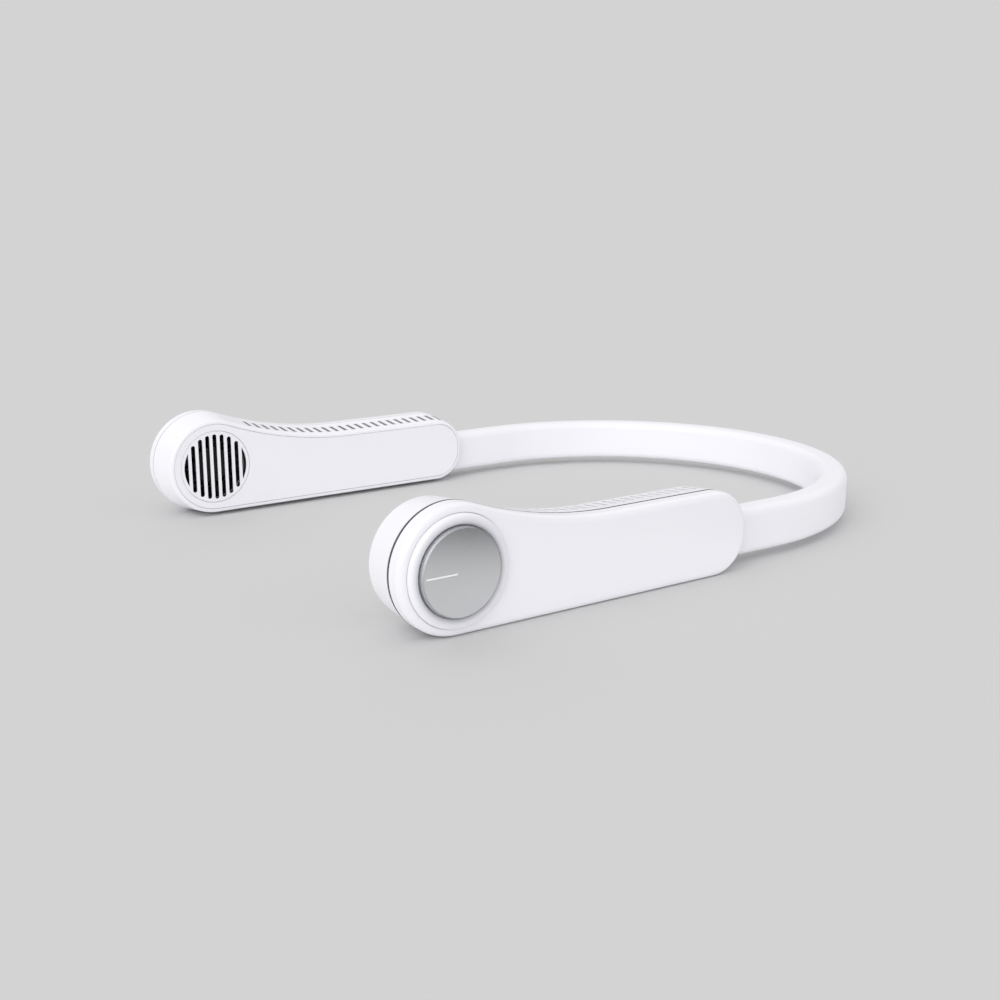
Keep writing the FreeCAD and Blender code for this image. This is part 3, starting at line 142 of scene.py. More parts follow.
@dataclass(frozen=True)
class Finish:
    """A surface as the eye sees it: a colour that drifts a little, a gloss and a fine relief.

    Attributes:
        name: What the surface is made of and how it was formed.
        colour: Main colour.
        drift_colour: Colour that the main one drifts towards in broad patches.
        drift: Width of those patches.
        roughness: Mean roughness.
        spread: How far the roughness strays from its mean.
        grain: Width of the relief's bumps.
        depth: Height of the relief's bumps.
        metallic: 1 for bare metal.
        ior: Index of refraction.
        sheen: Share of the soft glow that rubber shows at grazing angles.
        sheen_roughness: Roughness of that glow.
    """

    name: str
    colour: str
    drift_colour: str
    drift: float
    roughness: float
    spread: float
    grain: float
    depth: float
    metallic: float = 0.0
    ior: float = 1.5
    sheen: float = 0.0
    sheen_roughness: float = 0.4

    def relief(self, tree: bpy.types.NodeTree, place: bpy.types.NodeSocket) -> bpy.types.NodeSocket:
        """Draws the fine relief as a height from 0 to 1.

        Args:
            tree: The material's node tree.
            place: Position on the piece in metres.

        Returns:
            The height.
        """
        bumps = add_node(
            tree, "TexNoise",
            {"Scale": 1 / (self.grain * MM), "Detail": 3.0, "Roughness": 0.55},
            {"Vector": place},
        )
        return bumps.outputs[0]

    def tint(self, tree: bpy.types.NodeTree, place: bpy.types.NodeSocket) -> bpy.types.NodeSocket:
        """Draws the colour.

        Args:
            tree: The material's node tree.
            place: Position on the piece in metres.

        Returns:
            The colour.
        """
        patches = add_node(
            tree, "TexNoise",
            {"Scale": 1 / (self.drift * MM), "Detail": 2.0},
            {"Vector": place},
        )
        mixed = add_node(
            tree, "Mix",
            {"data_type": "RGBA", 6: linear(self.colour), 7: linear(self.drift_colour)},
            {0: patches.outputs[0]},
        )
        return mixed.outputs[2]

    def gloss(
        self, tree: bpy.types.NodeTree, place: bpy.types.NodeSocket, height: bpy.types.NodeSocket
    ) -> bpy.types.NodeSocket:
        """Draws the roughness, which strays with the relief.

        Args:
            tree: The material's node tree.
            place: Position on the piece in metres.
            height: The relief.

        Returns:
            The roughness.
        """
        spread = add_node(
            tree, "MapRange",
            {"To Min": self.roughness - self.spread, "To Max": self.roughness + self.spread},
            {"Value": height},
        )
        return spread.outputs[0]

    def build(self) -> bpy.types.Material:
        """Builds the material from the finish's colour, gloss and relief.

        Returns:
            The material.
        """
        material = empty_material(self.name)
        tree = material.node_tree
        place = add_node(tree, "TexCoord").outputs["Object"]
        height = self.relief(tree, place)
        bump = add_node(tree, "Bump", {"Distance": self.depth * MM}, {"Height": height})
        surface = add_node(
            tree, "BsdfPrincipled",
            {
                "Metallic": self.metallic,
                "IOR": self.ior,
                "Sheen Weight": self.sheen,
                "Sheen Roughness": self.sheen_roughness,
            },
            {
                "Base Color": self.tint(tree, place),
                "Roughness": self.gloss(tree, place, height),
                "Normal": bump.outputs[0],
            },
        )
        add_node(tree, "OutputMaterial", links={"Surface": surface.outputs[0]})
        return material


@dataclass(frozen=True)
class RoundFinish(Finish):
    """A surface whose look changes with the distance from the dial's axis.

    Attributes:
        axis_x: Place of the dial's axis along the fan.
        axis_z: Height of the dial's axis.
    """

    axis_x: float = -99.05
    axis_z: float = 18.7

    def centred(self, tree: bpy.types.NodeTree, place: bpy.types.NodeSocket) -> bpy.types.NodeSocket:
        """Measures a position from the dial's axis.

        Args:
            tree: The material's node tree.
            place: Position on the piece in metres.

        Returns:
            Vector from the axis, square to it.
        """
        offset = add_node(
            tree, "VectorMath",
            {"operation": "SUBTRACT", 1: (self.axis_x * MM, 0.0, self.axis_z * MM)},
            {0: place},
        )
        flat = add_node(
            tree, "VectorMath", {"operation": "MULTIPLY", 1: (1.0, 0.0, 1.0)}, {0: offset.outputs[0]}
        )
        return flat.outputs[0]

    def radius(self, tree: bpy.types.NodeTree, place: bpy.types.NodeSocket) -> bpy.types.NodeSocket:
        """Gives the distance of a position from the dial's axis, in metres."""
        length = add_node(tree, "VectorMath", {"operation": "LENGTH"}, {0: self.centred(tree, place)})
        return length.outputs["Value"]


@dataclass(frozen=True)
class BeadFinish(RoundFinish):
    """A bead round the dial, with painted shade that darkens it towards its foot, where the dial shades
    it.

    Attributes:
        shade_colour: Colour of the painted shade at the bead's inner foot.
        inner: Radius of that foot.
        outer: Radius from which the bead shows its plain colour.
    """

    shade_colour: str = "#CACAD0"
    inner: float = 13.0
    outer: float = 16.2

    def tint(self, tree: bpy.types.NodeTree, place: bpy.types.NodeSocket) -> bpy.types.NodeSocket:
        """Draws the colour, with painted shade darker towards the dial.

        Args:
            tree: The material's node tree.
            place: Position on the piece in metres.

        Returns:
            The colour.
        """
        share = add_node(
            tree, "MapRange",
            {
                "interpolation_type": "SMOOTHSTEP",
                "From Min": self.inner * MM,
                "From Max": self.outer * MM,
            },
            {"Value": self.radius(tree, place)},
        )
        mixed = add_node(
            tree, "Mix",
            {"data_type": "RGBA", 6: linear(self.shade_colour)},
            {0: share.outputs[0], 7: super().tint(tree, place)},
        )
        return mixed.outputs[2]


@dataclass(frozen=True)
class SpunFinish(RoundFinish):
    """Metal turned on a lathe: rings round the dial's axis that spread the light.

    Attributes:
        disc: Radius of the disc.
        bevel: Width of the bevel at the disc's edge.
        bevel_colour: Colour of the bevel, darker than the face as painted shade that dims the bevel's
            highlight.
        edge_roughness: Roughness of the bevel and of the disc's side.
        slack: How far the bevel's look passes its inner edge, so that rounding can't miss it.
    """

    disc: float = 12.7
    bevel: float = 0.35
    bevel_colour: str = "#C8C9CD"
    edge_roughness: float = 0.6
    slack: float = 0.02

    def tint(self, tree: bpy.types.NodeTree, place: bpy.types.NodeSocket) -> bpy.types.NodeSocket:
        """Draws the colour, with painted shade on the bevel.

        Args:
            tree: The material's node tree.
            place: Position on the piece in metres.

        Returns:
            The colour.
        """
        inner, outer = self.disc - self.bevel - self.slack, self.disc - self.slack
        mixed = add_node(
            tree, "Mix",
            {"data_type": "RGBA", 7: linear(self.bevel_colour)},
            {
                0: between(tree, self.radius(tree, place), inner, outer),
                6: super().tint(tree, place),
            },
        )
        return mixed.outputs[2]

    def gloss(
        self, tree: bpy.types.NodeTree, place: bpy.types.NodeSocket, height: bpy.types.NodeSocket
    ) -> bpy.types.NodeSocket:
        """Draws the roughness, higher on the disc's edge.

        Args:
            tree: The material's node tree.
            place: Position on the piece in metres.
            height: The relief.

        Returns:
            The roughness.
        """
        inner = self.disc - self.bevel - self.slack
        edge = add_node(
            tree, "Math", {"operation": "GREATER_THAN", 1: inner * MM}, {0: self.radius(tree, place)}
        )
        mixed = add_node(
            tree, "Mix",
            {"data_type": "FLOAT", 3: self.edge_roughness},
            {0: edge.outputs[0], 2: super().gloss(tree, place, height)},
        )
        return mixed.outputs[0]

    def relief(self, tree: bpy.types.NodeTree, place: bpy.types.NodeSocket) -> bpy.types.NodeSocket:
        """Draws turning rings as a height from 0 to 1.

        Args:
            tree: The material's node tree.
            place: Position on the piece in metres.

        Returns:
            The height.
        """
        rings = add_node(
            tree, "TexWave",
            {
                "wave_type": "RINGS",
                "rings_direction": "Y",
                "Scale": WAVE_LENGTH / (self.grain * MM),
                "Distortion": 0.6,
                "Detail": 2.0,
            },
            {"Vector": self.centred(tree, place)},
        )
        return rings.outputs[1]


@dataclass(frozen=True)
class Gap:
    """A joint, slit or opening of a moulding, whose walls get painted shade.

    Attributes:
        colour: Colour of the painted shade on the walls.
        near: Distance from the fan's middle plane at which the walls start.
        far: Distance from the fan's middle plane at which they end.
    """

    colour: str
    near: float
    far: float

    def mark(self, tree: bpy.types.NodeTree, place: bpy.types.Node) -> bpy.types.NodeSocket:
        """Marks the gap's walls.

        Args:
            tree: The material's node tree.
            place: Node that gives the position on the piece by its axes, in metres.

        Returns:
            1 on the gap's walls and 0 elsewhere.
        """
        distance = add_node(tree, "Math", {"operation": "ABSOLUTE"}, {0: place.outputs["Y"]})
        return between(tree, distance.outputs[0], self.near, self.far)


@dataclass(frozen=True)
class SlitRow(Gap):
    """A row of slits along the fan, in the top of a moulding.

    Attributes:
        first: Where the first slit starts along the fan.
        pitch: Spacing of the slits, which stand at 23 equal steps.
        width: Width of a slit.
        count: Number of slits.
        low: Height of the slits' floor.
        high: Height that the slits stay under.
        slack: How far the painted shade passes the walls, so that rounding can't miss them.
    """

    near: float = 74.4
    far: float = 80.9
    first: float = -84.05
    pitch: float = 84.15 / 23
    width: float = 1.5
    count: int = 24
    low: float = 24.2
    high: float = 38.0
    slack: float = 0.02

    def mark(self, tree: bpy.types.NodeTree, place: bpy.types.Node) -> bpy.types.NodeSocket:
        """Marks the slits' walls.

        Args:
            tree: The material's node tree.
            place: Node that gives the position on the piece by its axes, in metres.

        Returns:
            1 on the slits' walls and 0 elsewhere.
        """
        start = self.first - self.slack
        end = self.first + self.width + self.slack
        folded = add_node(
            tree, "Math",
            {"operation": "WRAP", 1: (start + self.pitch) * MM, 2: start * MM},
            {0: place.outputs["X"]},
        )
        marked = super().mark(tree, place)
        for inside in (
            between(tree, place.outputs["Z"], self.low, self.high),
            between(tree, place.outputs["X"], start, end + self.pitch * (self.count - 1)),
            between(tree, folded.outputs[0], start, end),
        ):
            marked = add_node(tree, "Math", {"operation": "MULTIPLY"}, {0: marked, 1: inside}).outputs[0]
        return marked


@dataclass(frozen=True)
class SlitFloor(SlitRow):
    """The floor of the last slit by the tail, the only one that doesn't reach the duct; it gets painted
    shade as dark as the duct.
    """

    first: float = 0.1
    count: int = 1
    high: float = 24.35


@dataclass(frozen=True)
class GapFinish(Finish):
    """A moulding with gaps, whose walls get painted shade, darker than the rest.

    Attributes:
        gaps: The gaps.
    """

    gaps: tuple[Gap, ...] = ()

    def tint(self, tree: bpy.types.NodeTree, place: bpy.types.NodeSocket) -> bpy.types.NodeSocket:
        """Draws the colour, with painted shade on the gaps' walls.

        Args:
            tree: The material's node tree.
            place: Position on the piece in metres.

        Returns:
            The colour.
        """
        colour = super().tint(tree, place)
        axes = add_node(tree, "SeparateXYZ", links={0: place})
        for gap in self.gaps:
            mixed = add_node(
                tree, "Mix",
                {"data_type": "RGBA", 7: linear(gap.colour)},
                {0: gap.mark(tree, axes), 6: colour},
            )
            colour = mixed.outputs[2]
        return colour


@dataclass(frozen=True)
class CircuitFinish(Finish):
    """A printed board: green lacquer with copper runs under it.

    Attributes:
        run_colour: Colour of the lacquer over copper.
        run: Width of the copper runs.
        run_pitch: Spacing of the runs.
        run_break: Spacing of the links between two runs.
    """

    run_colour: str = "#2E7D4A"
    run: float = 0.096
    run_pitch: float = 0.96
    run_break: float = 4.8

    def tint(self, tree: bpy.types.NodeTree, place: bpy.types.NodeSocket) -> bpy.types.NodeSocket:
        """Draws the lacquer, paler where copper lies under it.

        Args:
            tree: The material's node tree.
            place: Position on the piece in metres.

        Returns:
            The colour.
        """
        runs = add_node(
            tree, "TexBrick",
            {
                "Color1": linear(self.colour),
                "Color2": linear(self.drift_colour),
                "Mortar": linear(self.run_colour),
                "Scale": 1 / MM,
                "Mortar Size": self.run,
                "Brick Width": self.run_break,
                "Row Height": self.run_pitch,
            },
            {"Vector": place},
        )
        return runs.outputs[0]


@dataclass(frozen=True)
class FoilFinish(Finish):
    """Pouch foil of a lithium cell: soft metal with shallow creases."""

    def relief(self, tree: bpy.types.NodeTree, place: bpy.types.NodeSocket) -> bpy.types.NodeSocket:
        """Draws creases as a height from 0 to 1.

        Args:
            tree: The material's node tree.
            place: Position on the piece in metres.

        Returns:
            The height.
        """
        creases = add_node(
            tree, "TexVoronoi",
            {"feature": "DISTANCE_TO_EDGE", "Scale": 1 / (self.grain * MM)},
            {"Vector": place},
        )
        return creases.outputs[0]


# Polished mould: an almost even white with a sharp gloss and a trace of orange peel.
WHITE_ABS: dict[str, Any] = {
    "colour": "#EFEEF3",
    "drift_colour": "#ECEBF1",
    "drift": 40.0,
    "roughness": 0.24,
    "spread": 0.03,
    "grain": 1.4,
    "depth": 0.0015,
    "ior": 1.54,
}


class Palette(Enum):
    """The finishes of the fan."""

    # The plain white of the inner covers, the right outer shell and its cap.
    SHELL = Finish(name="abs_white_polished_moulding", **WHITE_ABS)
    # The same white on the bead round the dial, with painted shade that turns it greyer towards the
    # dial.
    BEAD = BeadFinish(name="abs_white_polished_bead_moulding", **WHITE_ABS)
    # The same white with outlet slits, whose narrow walls get a mid-grey painted shade. The last slit by
    # the tail ends on a floor, which gets painted shade as dark as the duct under the other slits.
    VENTED = GapFinish(
        name="abs_white_polished_slotted_moulding", **WHITE_ABS,
        gaps=(SlitRow("#BABABE"), SlitFloor("#2A2A2E")),
    )
    # The same white with painted shade on the rim and on the last slit's floor; the rim's shade shows as
    # a dark line in the joint of the two shells.
    RIM_SHADED = GapFinish(
        name="abs_white_polished_rim_shaded_moulding", **WHITE_ABS,
        gaps=(Gap("#66666C", near=84.4, far=84.88), SlitFloor("#2A2A2E")),
    )
    # The same white with painted shade on the lip behind that joint, a little darker than on the rim.
    LIP_SHADED = GapFinish(
        name="abs_white_polished_lip_shaded_moulding", **WHITE_ABS,
        gaps=(Gap("#58585E", near=80.0, far=85.44),),
    )
    # The same white from a finely etched mould: the gloss is a little wider.
    # The walls of its openings get painted shade, nearly black, that stands for the blower's shade.
    GRILLE = GapFinish(
        name="abs_white_satin_moulding", colour="#EEEDF2", drift_colour="#EAE9EF", drift=25.0,
        roughness=0.32, spread=0.04, grain=0.7, depth=0.002, ior=1.54,
        gaps=(Gap("#2C2C30", near=71.95, far=73.7),),
    )
    # Unpainted inside moulding: dark grey, dull, with the flow marks of a quick mould.
    INSIDE = Finish(
        name="abs_dark_grey_plain_moulding", colour="#3E3E42", drift_colour="#36363A", drift=18.0,
        roughness=0.5, spread=0.06, grain=0.5, depth=0.006, ior=1.54,
    )
    # Glass-filled nylon: near black and dull, roughened by the fibres at its surface.
    WHEEL = Finish(
        name="nylon_black_glass_filled_moulding", colour="#101012", drift_colour="#17171A", drift=3.0,
        roughness=0.56, spread=0.08, grain=0.25, depth=0.008, ior=1.53,
    )
    # Laminated foil round a soft cell: bright, with shallow creases.
    CELL = FoilFinish(
        name="aluminium_laminate_heat_sealed", colour="#C9CACC", drift_colour="#BBBCC0", drift=9.0,
        roughness=0.34, spread=0.08, grain=5.0, depth=0.05, metallic=1.0,
    )
    # Solder mask over glass cloth: deep green, glossy, with paler copper runs.
    BOARD = CircuitFinish(
        name="glass_epoxy_board_lacquered", colour="#1E5E37", drift_colour="#1A5531", drift=6.0,
        roughness=0.3, spread=0.05, grain=0.4, depth=0.006, ior=1.55,
    )
    # Drawn jacket: black, slightly waxy.
    CABLE = Finish(
        name="pvc_black_extruded_jacket", colour="#222224", drift_colour="#2A2A2C", drift=6.0,
        roughness=0.44, spread=0.05, grain=0.6, depth=0.008, ior=1.53,
    )
    # Rolled and plated steel: cool grey and bright, with a faint cloud in its gloss.
    STEEL = Finish(
        name="steel_nickel_plated", colour="#C3C5C8", drift_colour="#B4B6BA", drift=4.0,
        roughness=0.28, spread=0.07, grain=0.35, depth=0.003, metallic=1.0,
    )
    # Pressed powder metal: warm brown with open pores.
    BRONZE = Finish(
        name="bronze_sintered", colour="#B98B52", drift_colour="#9C7343", drift=1.2,
        roughness=0.42, spread=0.1, grain=0.2, depth=0.01, metallic=1.0,
    )
    # Turned and bead-blasted aluminium, clear anodised: grey, with a broad soft reflection.
    # Such a disc has turning rings about 0.08 apart; they are drawn coarser so that they show.
    # Its bevel gets painted shade, which dims the highlight along the disc's edge.
    DIAL = SpunFinish(
        name="aluminium_spun_anodised", colour="#F0F1F3", drift_colour="#EBECEF", drift=12.0,
        roughness=0.27, spread=0.03, grain=0.3, depth=0.0006, metallic=1.0,
    )
    # Ink filled into the dial's groove: flat bright white.
    POINTER = Finish(
        name="enamel_white_filled_line", colour="#F4F4F6", drift_colour="#F0F0F3", drift=4.0,
        roughness=0.36, spread=0.04, grain=0.3, depth=0.002, ior=1.5,
    )
    # Moulded silicone: the shells' white with a soft gloss and a faint bloom at its edges.
    SLEEVE = Finish(
        name="silicone_white_moulded", colour="#EFEEF3", drift_colour="#EBEAF0", drift=30.0,
        roughness=0.36, spread=0.04, grain=0.45, depth=0.0025, ior=1.43, sheen=0.12,
    )

    def material(self) -> bpy.types.Material:
        """Gives the finish's material and builds it the first time."""
        return bpy.data.materials.get(self.value.name) or self.value.build()


def dress(node: str, finish: Palette) -> None:
    """Gives one piece of the frame its finish.

    Args:
        node: Name of the piece.
        finish: Its finish.
    """
    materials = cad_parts[node].data.materials
    materials.clear()
    materials.append(finish.material())
    LOG.info("%s is %s", node, finish.value.name)


class Side(Enum):
    """The wearer's two sides: the value is the sign of the fan's Y axis there."""

    LEFT = -1
    RIGHT = 1

    @property
    def word(self) -> str:
        """The side's name as the frame's pieces begin with it."""
        return self.name.lower()

    @property
    def arm(self) -> str:
        """The body that the side's arm is."""
        return f"{self.word}_arm"


@dataclass
class Arm:
    """One arm with its blower, battery and boards.

    Attributes:
        side: The arm's side.
    """

    side: Side

    def finishes(self) -> Iterator[tuple[str, Palette]]:
        """Pairs each of the arm's pieces with its finish.

        Yields:
            Name of a piece of the frame, and its finish.
        """
        groups = {
            Palette.SHELL: ("inner_cover",),
            Palette.BEAD: ("dial_collar",),
            Palette.GRILLE: ("intake_grille",),
            Palette.INSIDE: ("chassis_plate", "fan_duct", "band_anchor"),
            Palette.WHEEL: ("impeller",),
            Palette.CELL: ("battery",),
            Palette.BOARD: ("power_board",),
            Palette.CABLE: ("lead",),
            Palette.STEEL: ("screws", "motor_shaft", "rotor_ring", "motor_stator"),
            Palette.BRONZE: ("bearing",),
        }
        for finish, names in groups.items():
            for name in names:
                yield f"{self.side.word}_{name}", finish
        if self.side is Side.LEFT:
            yield "left_arm_frame", Palette.RIM_SHADED
            yield "left_outer_shell", Palette.LIP_SHADED
        else:
            yield "right_arm_frame", Palette.VENTED
            yield "right_outer_shell", Palette.SHELL

    def build(self) -> None:
        """Dresses the arm's pieces."""
        for node, finish in self.finishes():
            dress(node, finish)


@dataclass
class SpeedDial:
    """The speed dial, what it turns, and the cap in its place on the other arm."""

    def build(self) -> None:
        """Dresses the dial's pieces and the charging socket by it."""
        dress("dial_knob", Palette.DIAL)
        dress("dial_pointer", Palette.POINTER)
        dress("encoder_rotor", Palette.WHEEL)
        dress("encoder_body", Palette.WHEEL)
        dress("control_board", Palette.BOARD)
        dress("charge_socket", Palette.STEEL)
        dress("right_blank_cap", Palette.SHELL)


@dataclass
class NeckBand:
    """The soft band round the neck, with the flat spring and the cable that run through it.

    The centre line is measured from the middle of the back: round a half circle to the side,
    then straight into the arm's tail.

    Attributes:
        centre_x: Place of the bend's centre along the fan.
        centre_z: Middle of the band's height.
        radius: Radius of the bend's centre line.
        thick: Thickness of the sleeve.
        high: Height of the sleeve.
        corner: Radius of the sleeve's long edges.
        rear_half: Half the angle of the rear stretch, in degrees.
        tail_x: Where the band enters an arm.
        sleeve_x: Where the sleeve ends inside an arm.
        spring_x: Where the spring ends inside an arm.
        spring_thick: Thickness of the spring.
        spring_high: Height of the spring.
        spring_rise: Height of the spring's middle above the band's.
        cable_x: Where the cable ends inside an arm.
        cable_radius: Radius of the cable.
        cable_rise: Height of the cable above the band's middle.
        step: Spacing of the cross-sections.
    """

    centre_x: float = 32.5
    centre_z: float = 10.4
    radius: float = 80.45
    thick: float = 9.6
    high: float = 15.4
    corner: float = 2.8
    rear_half: float = 35.0
    tail_x: float = 10.25
    sleeve_x: float = 1.05
    spring_x: float = -6.95
    spring_thick: float = 0.8
    spring_high: float = 8.0
    spring_rise: float = -2.2
    cable_x: float = -7.05
    cable_radius: float = 1.2
    cable_rise: float = 4.6
    step: float = 1.6

    def station(self, run: float, side: Side) -> tuple[Vector, Vector]:
        """Finds a point of the centre line.

        Args:
            run: Distance along the centre line from the middle of the back.
            side: Side that it runs to.

        Returns:
            The point, and the outward direction there.
        """
        bend = self.radius * math.pi / 2
        angle = min(run, bend) / self.radius
        outward = Vector((math.cos(angle), side.value * math.sin(angle), 0.0))
        point = Vector((self.centre_x, 0.0, self.centre_z)) + outward * self.radius
        point.x -= max(run - bend, 0.0)
        return point, outward

    def run_to(self, x: float) -> float:
        """Gives the distance along the centre line to a place on its straight stretch."""
        return self.radius * math.pi / 2 + self.centre_x - x

    def rounded_section(self, points: int = 9) -> list[tuple[float, float]]:
        """Draws the sleeve's section, a rectangle with round corners.

        Args:
            points: Points on each corner.

        Returns:
            Distances outwards and upwards of the section's points.
        """
        section = []
        for quarter, (out_sign, up_sign) in enumerate(((1, 1), (-1, 1), (-1, -1), (1, -1))):
            for index in range(points):
                angle = (quarter + index / (points - 1)) * math.pi / 2
                section.append((
                    out_sign * (self.thick / 2 - self.corner) + self.corner * math.cos(angle),
                    up_sign * (self.high / 2 - self.corner) + self.corner * math.sin(angle),
                ))
        return section

    def spring_section(self) -> list[tuple[float, float]]:
        """Draws the spring's section, a narrow upright rectangle."""
        half, low = self.spring_thick / 2, self.spring_rise - self.spring_high / 2
        high = low + self.spring_high
        return [(half, low), (half, high), (-half, high), (-half, low)]

    def cable_section(self, points: int = 16) -> list[tuple[float, float]]:
        """Draws the cable's section, a circle of a number of points."""
        return [
            (
                self.cable_radius * math.cos(index / points * 2 * math.pi),
                self.cable_rise + self.cable_radius * math.sin(index / points * 2 * math.pi),
            )
            for index in range(points)
        ]

    def sweep(
        self,
        name: str,
        section: list[tuple[float, float]],
        spans: list[tuple[Side, float, float]],
        finish: Palette,
    ) -> bpy.types.Object:
        """Runs a section along stretches of the centre line and closes its ends.

        Args:
            name: Name of the piece.
            section: Distances outwards and upwards of the section's points.
            spans: Side, start and end of each stretch, in the order of the sweep.
            finish: The piece's finish.

        Returns:
            The piece, not yet carried by any body.
        """
        mesh = bmesh.new()
        rings: list[list[bmesh.types.BMVert]] = []
        for side, start, end in spans:
            count = max(2, round(abs(end - start) / self.step))
            for index in range(0 if not rings else 1, count + 1):
                point, outward = self.station(start + (end - start) * index / count, side)
                rings.append([
                    mesh.verts.new((point + outward * out + Vector((0.0, 0.0, up))) * MM)
                    for out, up in section
                ])
        size = len(section)
        for near, far in zip(rings, rings[1:]):
            for index in range(size):
                following = (index + 1) % size
                mesh.faces.new((near[index], near[following], far[following], far[index]))
        caps = [mesh.faces.new(rings[0]), mesh.faces.new(rings[-1])]
        bmesh.ops.recalc_face_normals(mesh, faces=mesh.faces[:])
        for face in mesh.faces:
            face.smooth = face not in caps
        for cap in caps:
            for edge in cap.edges:
                edge.smooth = False
        data = bpy.data.meshes.new(name)
        mesh.to_mesh(data)
        mesh.free()
        data.materials.append(finish.material())
        piece = bpy.data.objects.new(name, data)
        bpy.context.scene.collection.objects.link(piece)
        LOG.info("%s has %d faces of %s", name, len(data.polygons), finish.value.name)
        return piece

    def bend_with(self, piece: bpy.types.Object, side: Side) -> None:
        """Bakes a piece's placement into its mesh; the band's back and the arm's tail are found but not
        used, so the piece doesn't bend.

        Args:
            piece: The piece.
            side: The arm's side.
        """
        rear, _ = self.station(self.radius * math.radians(self.rear_half), side)
        tail, _ = self.station(self.run_to(self.tail_x), side)
        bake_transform(piece)

    def build(self) -> None:
        """Lays the sleeve in three stretches, and the spring and the cable in two halves each."""
        rear_run = self.radius * math.radians(self.rear_half)
        section = self.rounded_section()
        rear = self.sweep(
            "sleeve_rear", section,
            [(Side.LEFT, rear_run, 0.0), (Side.RIGHT, 0.0, rear_run)], Palette.SLEEVE,
        )
        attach(rear, "neck_band")
        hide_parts("band_rear_sleeve")
        for side in Side:
            sleeve = self.sweep(
                f"sleeve_{side.word}", section,
                [(side, rear_run, self.run_to(self.sleeve_x))], Palette.SLEEVE,
            )
            self.bend_with(sleeve, side)
            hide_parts(f"band_{side.word}_sleeve")
            spring = self.sweep(
                f"spring_{side.word}", self.spring_section(),
                [(side, 0.0, self.run_to(self.spring_x))], Palette.STEEL,
            )
            self.bend_with(spring, side)
            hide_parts("band_spring")
            cable = self.sweep(
                f"cable_{side.word}", self.cable_section(),
                [(side, 0.0, self.run_to(self.cable_x))], Palette.CABLE,
            )
            self.bend_with(cable, side)
            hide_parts("band_cable")


def shown_rays(tree: bpy.types.NodeTree) -> bpy.types.NodeSocket:
    """Tells the rays that show a surface, straight or in gloss, from those that only carry light.

    Args:
        tree: The node tree of a material or of the world.

    Returns:
        1 for a ray that shows the surface and 0 for one that carries its light.
    """
    path = add_node(tree, "LightPath")
    shown = path.outputs["Is Camera Ray"]
    for name in ("Is Glossy Ray", "Is Transmission Ray"):
        shown = add_node(
            tree, "Math", {"operation": "MAXIMUM"}, {0: shown, 1: path.outputs[name]}
        ).outputs[0]
    return shown


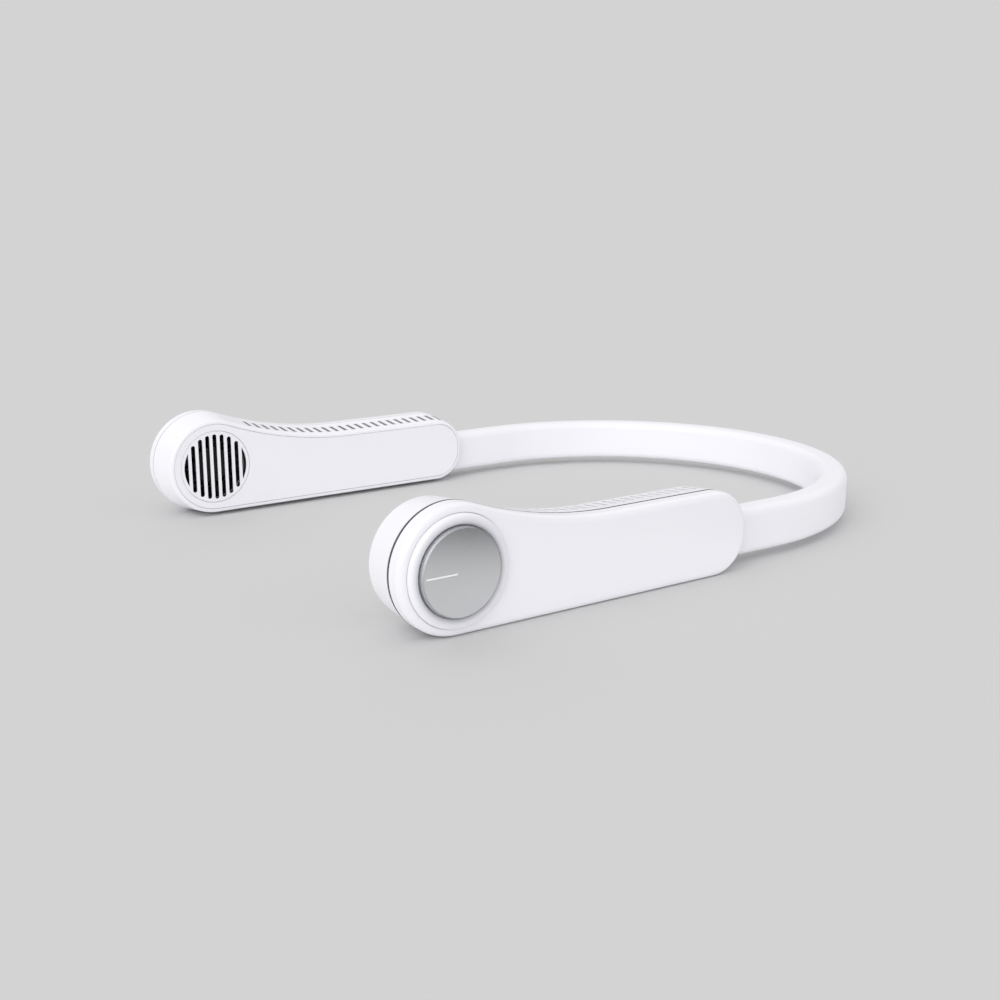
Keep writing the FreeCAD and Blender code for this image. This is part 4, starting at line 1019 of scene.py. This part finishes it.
@dataclass
class Studio:
    """A plain pale floor, soft light from the left and above, and the camera.

    Attributes:
        backdrop: Colour that the floor and the room show.
        sky_start: Height of the view, as a sine, above which the room turns paler than the backdrop.
        sky_end: Height of the view, as a sine, from which the room is white.
        floor_colour: Colour that the floor shows, which the light turns into the backdrop's.
        bounce_colour: Colour of the light that the floor throws back, as a paler table would.
        floor_half: Half the width of the floor.
        floor_drop: Depth of the floor under the fan, so that no two faces lie in one plane.
        horizon_light: Strength of the room's light from the sides.
        zenith_light: Strength of the room's light from straight above.
        sun_from: Direction that the large soft lamp shines from.
        sun_angle: Width of that lamp as the fan sees it, in degrees.
        sun_strength: Strength of that lamp in watts on a square metre.
        card_place: Middle of the foot of the dark card that the dial mirrors.
        card_facing: Direction that the card faces.
        card_size: Width and height of the card.
        card_colour: Colour of the card.
        camera_place: Place of the camera.
        camera_back: Direction from what it sees to the camera.
        camera_reach: Nearest and farthest distance that the camera sees.
        lens: Focal length of the lens.
        sensor: Width of the camera's sensor.
    """

    backdrop: str = "#D3D3D3"
    sky_start: float = 0.14
    sky_end: float = 0.42
    floor_colour: str = "#CDCDCD"
    bounce_colour: str = "#F8F8F8"
    floor_half: float = 30000.0
    floor_drop: float = 0.03
    horizon_light: float = 0.62
    zenith_light: float = 1.02
    sun_from: tuple[float, float, float] = (-0.72, -0.40, 0.57)
    sun_angle: float = 50.0
    sun_strength: float = 1.0
    card_place: tuple[float, float] = (-41.5, -174.6)
    card_facing: tuple[float, float] = (-0.575, 0.818)
    card_size: tuple[float, float] = (260.0, 170.0)
    card_colour: str = "#3A3A3C"
    camera_place: tuple[float, float, float] = (-283.25, -371.9, 120.4)
    camera_back: tuple[float, float, float] = (-0.5590, -0.7946, 0.2369)
    camera_reach: tuple[float, float] = (10.0, 50000.0)
    lens: float = 46.9
    sensor: float = 36.0

    def add_sheet(
        self, name: str, corners: list[Vector], material: bpy.types.Material
    ) -> bpy.types.Object:
        """Sets up one flat sheet of the studio.

        Args:
            name: Name of the sheet.
            corners: Its corners in order, in millimetres.
            material: Its material.

        Returns:
            The sheet.
        """
        data = bpy.data.meshes.new(name)
        data.from_pydata([corner * MM for corner in corners], [], [tuple(range(len(corners)))])
        data.materials.append(material)
        sheet = bpy.data.objects.new(name, data)
        bpy.context.scene.collection.objects.link(sheet)
        return sheet

    def build_floor(self) -> None:
        """Lays the floor, which shows the backdrop's grey and throws back more light than that."""
        material = empty_material("paper_sweep_matt")
        tree = material.node_tree
        shown = add_node(tree, "BsdfDiffuse", {"Color": linear(self.floor_colour)})
        thrown = add_node(tree, "BsdfDiffuse", {"Color": linear(self.bounce_colour)})
        mixed = add_node(
            tree, "MixShader",
            links={0: shown_rays(tree), 1: thrown.outputs[0], 2: shown.outputs[0]},
        )
        add_node(tree, "OutputMaterial", links={"Surface": mixed.outputs[0]})
        half, low = self.floor_half, -self.floor_drop
        corners = [Vector((x * half, y * half, low)) for x, y in ((-1, -1), (1, -1), (1, 1), (-1, 1))]
        self.add_sheet("floor", corners, material)

    def build_card(self) -> None:
        """Stands a dark card beside the camera, so that the dial darkens towards its top."""
        material = empty_material("card_black_matt")
        tree = material.node_tree
        surface = add_node(tree, "BsdfDiffuse", {"Color": linear(self.card_colour)})
        add_node(tree, "OutputMaterial", links={"Surface": surface.outputs[0]})
        width, height = self.card_size
        along = Vector((-self.card_facing[1], self.card_facing[0], 0.0)) * (width / 2)
        foot, rise = Vector((*self.card_place, 0.0)), Vector((0.0, 0.0, height))
        corners = [foot - along, foot + along, foot + along + rise, foot - along + rise]
        card = self.add_sheet("flag_card", corners, material)
        card.visible_camera = False
        card.visible_diffuse = False
        card.visible_shadow = False

    def build_room(self) -> None:
        """Lights the scene from all round, and shows the backdrop's colour to the eye and in gloss."""
        world = bpy.data.worlds.new("room")
        world.use_nodes = True
        tree = world.node_tree
        tree.nodes.clear()
        direction = add_node(tree, "TexCoord").outputs["Generated"]
        height = add_node(tree, "SeparateXYZ", links={0: direction}).outputs["Z"]
        strength = add_node(
            tree, "MapRange",
            {"To Min": self.horizon_light, "To Max": self.zenith_light},
            {"Value": height},
        )
        light = add_node(
            tree, "Background", {"Color": (1, 1, 1, 1)}, {"Strength": strength.outputs[0]}
        )
        paler = add_node(
            tree, "MapRange",
            {"From Min": self.sky_start, "From Max": self.sky_end},
            {"Value": height},
        )
        colour = add_node(
            tree, "Mix",
            {"data_type": "RGBA", 6: linear(self.backdrop), 7: (1, 1, 1, 1)},
            {0: paler.outputs[0]},
        )
        shown = add_node(tree, "Background", {"Strength": 1.0}, {"Color": colour.outputs[2]})
        mixed = add_node(
            tree, "MixShader", links={0: shown_rays(tree), 1: light.outputs[0], 2: shown.outputs[0]}
        )
        add_node(tree, "OutputWorld", links={"Surface": mixed.outputs[0]})
        bpy.context.scene.world = world

    def build_sun(self) -> None:
        """Hangs the large soft lamp, far enough away to light everything alike."""
        lamp = bpy.data.lights.new("key_lamp", "SUN")
        lamp.angle = math.radians(self.sun_angle)
        lamp.energy = self.sun_strength
        holder = bpy.data.objects.new("key_lamp", lamp)
        holder.rotation_euler = Vector(self.sun_from).to_track_quat("Z", "Y").to_euler()
        bpy.context.scene.collection.objects.link(holder)

    def build_camera(self) -> None:
        """Stands the camera where the photographer's stood."""
        camera = bpy.data.cameras.new("camera")
        camera.sensor_width = self.sensor
        camera.lens = self.lens
        camera.clip_start, camera.clip_end = (length * MM for length in self.camera_reach)
        holder = bpy.data.objects.new("camera", camera)
        holder.location = Vector(self.camera_place) * MM
        holder.rotation_euler = (-Vector(self.camera_back)).to_track_quat("-Z", "Y").to_euler()
        bpy.context.scene.collection.objects.link(holder)
        bpy.context.scene.camera = holder

    def build(self) -> None:
        """Sets up the floor, the card, the light, the camera and plain colours."""
        self.build_floor()
        self.build_card()
        self.build_room()
        self.build_sun()
        self.build_camera()
        bpy.context.scene.view_settings.view_transform = "Standard"


def main() -> None:
    """Builds the fan's looks and the studio round it."""
    logging.basicConfig(level=logging.INFO, format="%(name)s: %(message)s")
    for part in (Arm(Side.LEFT), Arm(Side.RIGHT), SpeedDial(), NeckBand(), Studio()):
        part.build()
        LOG.info("%s done", type(part).__name__)


if __name__ == "__main__":
    main()
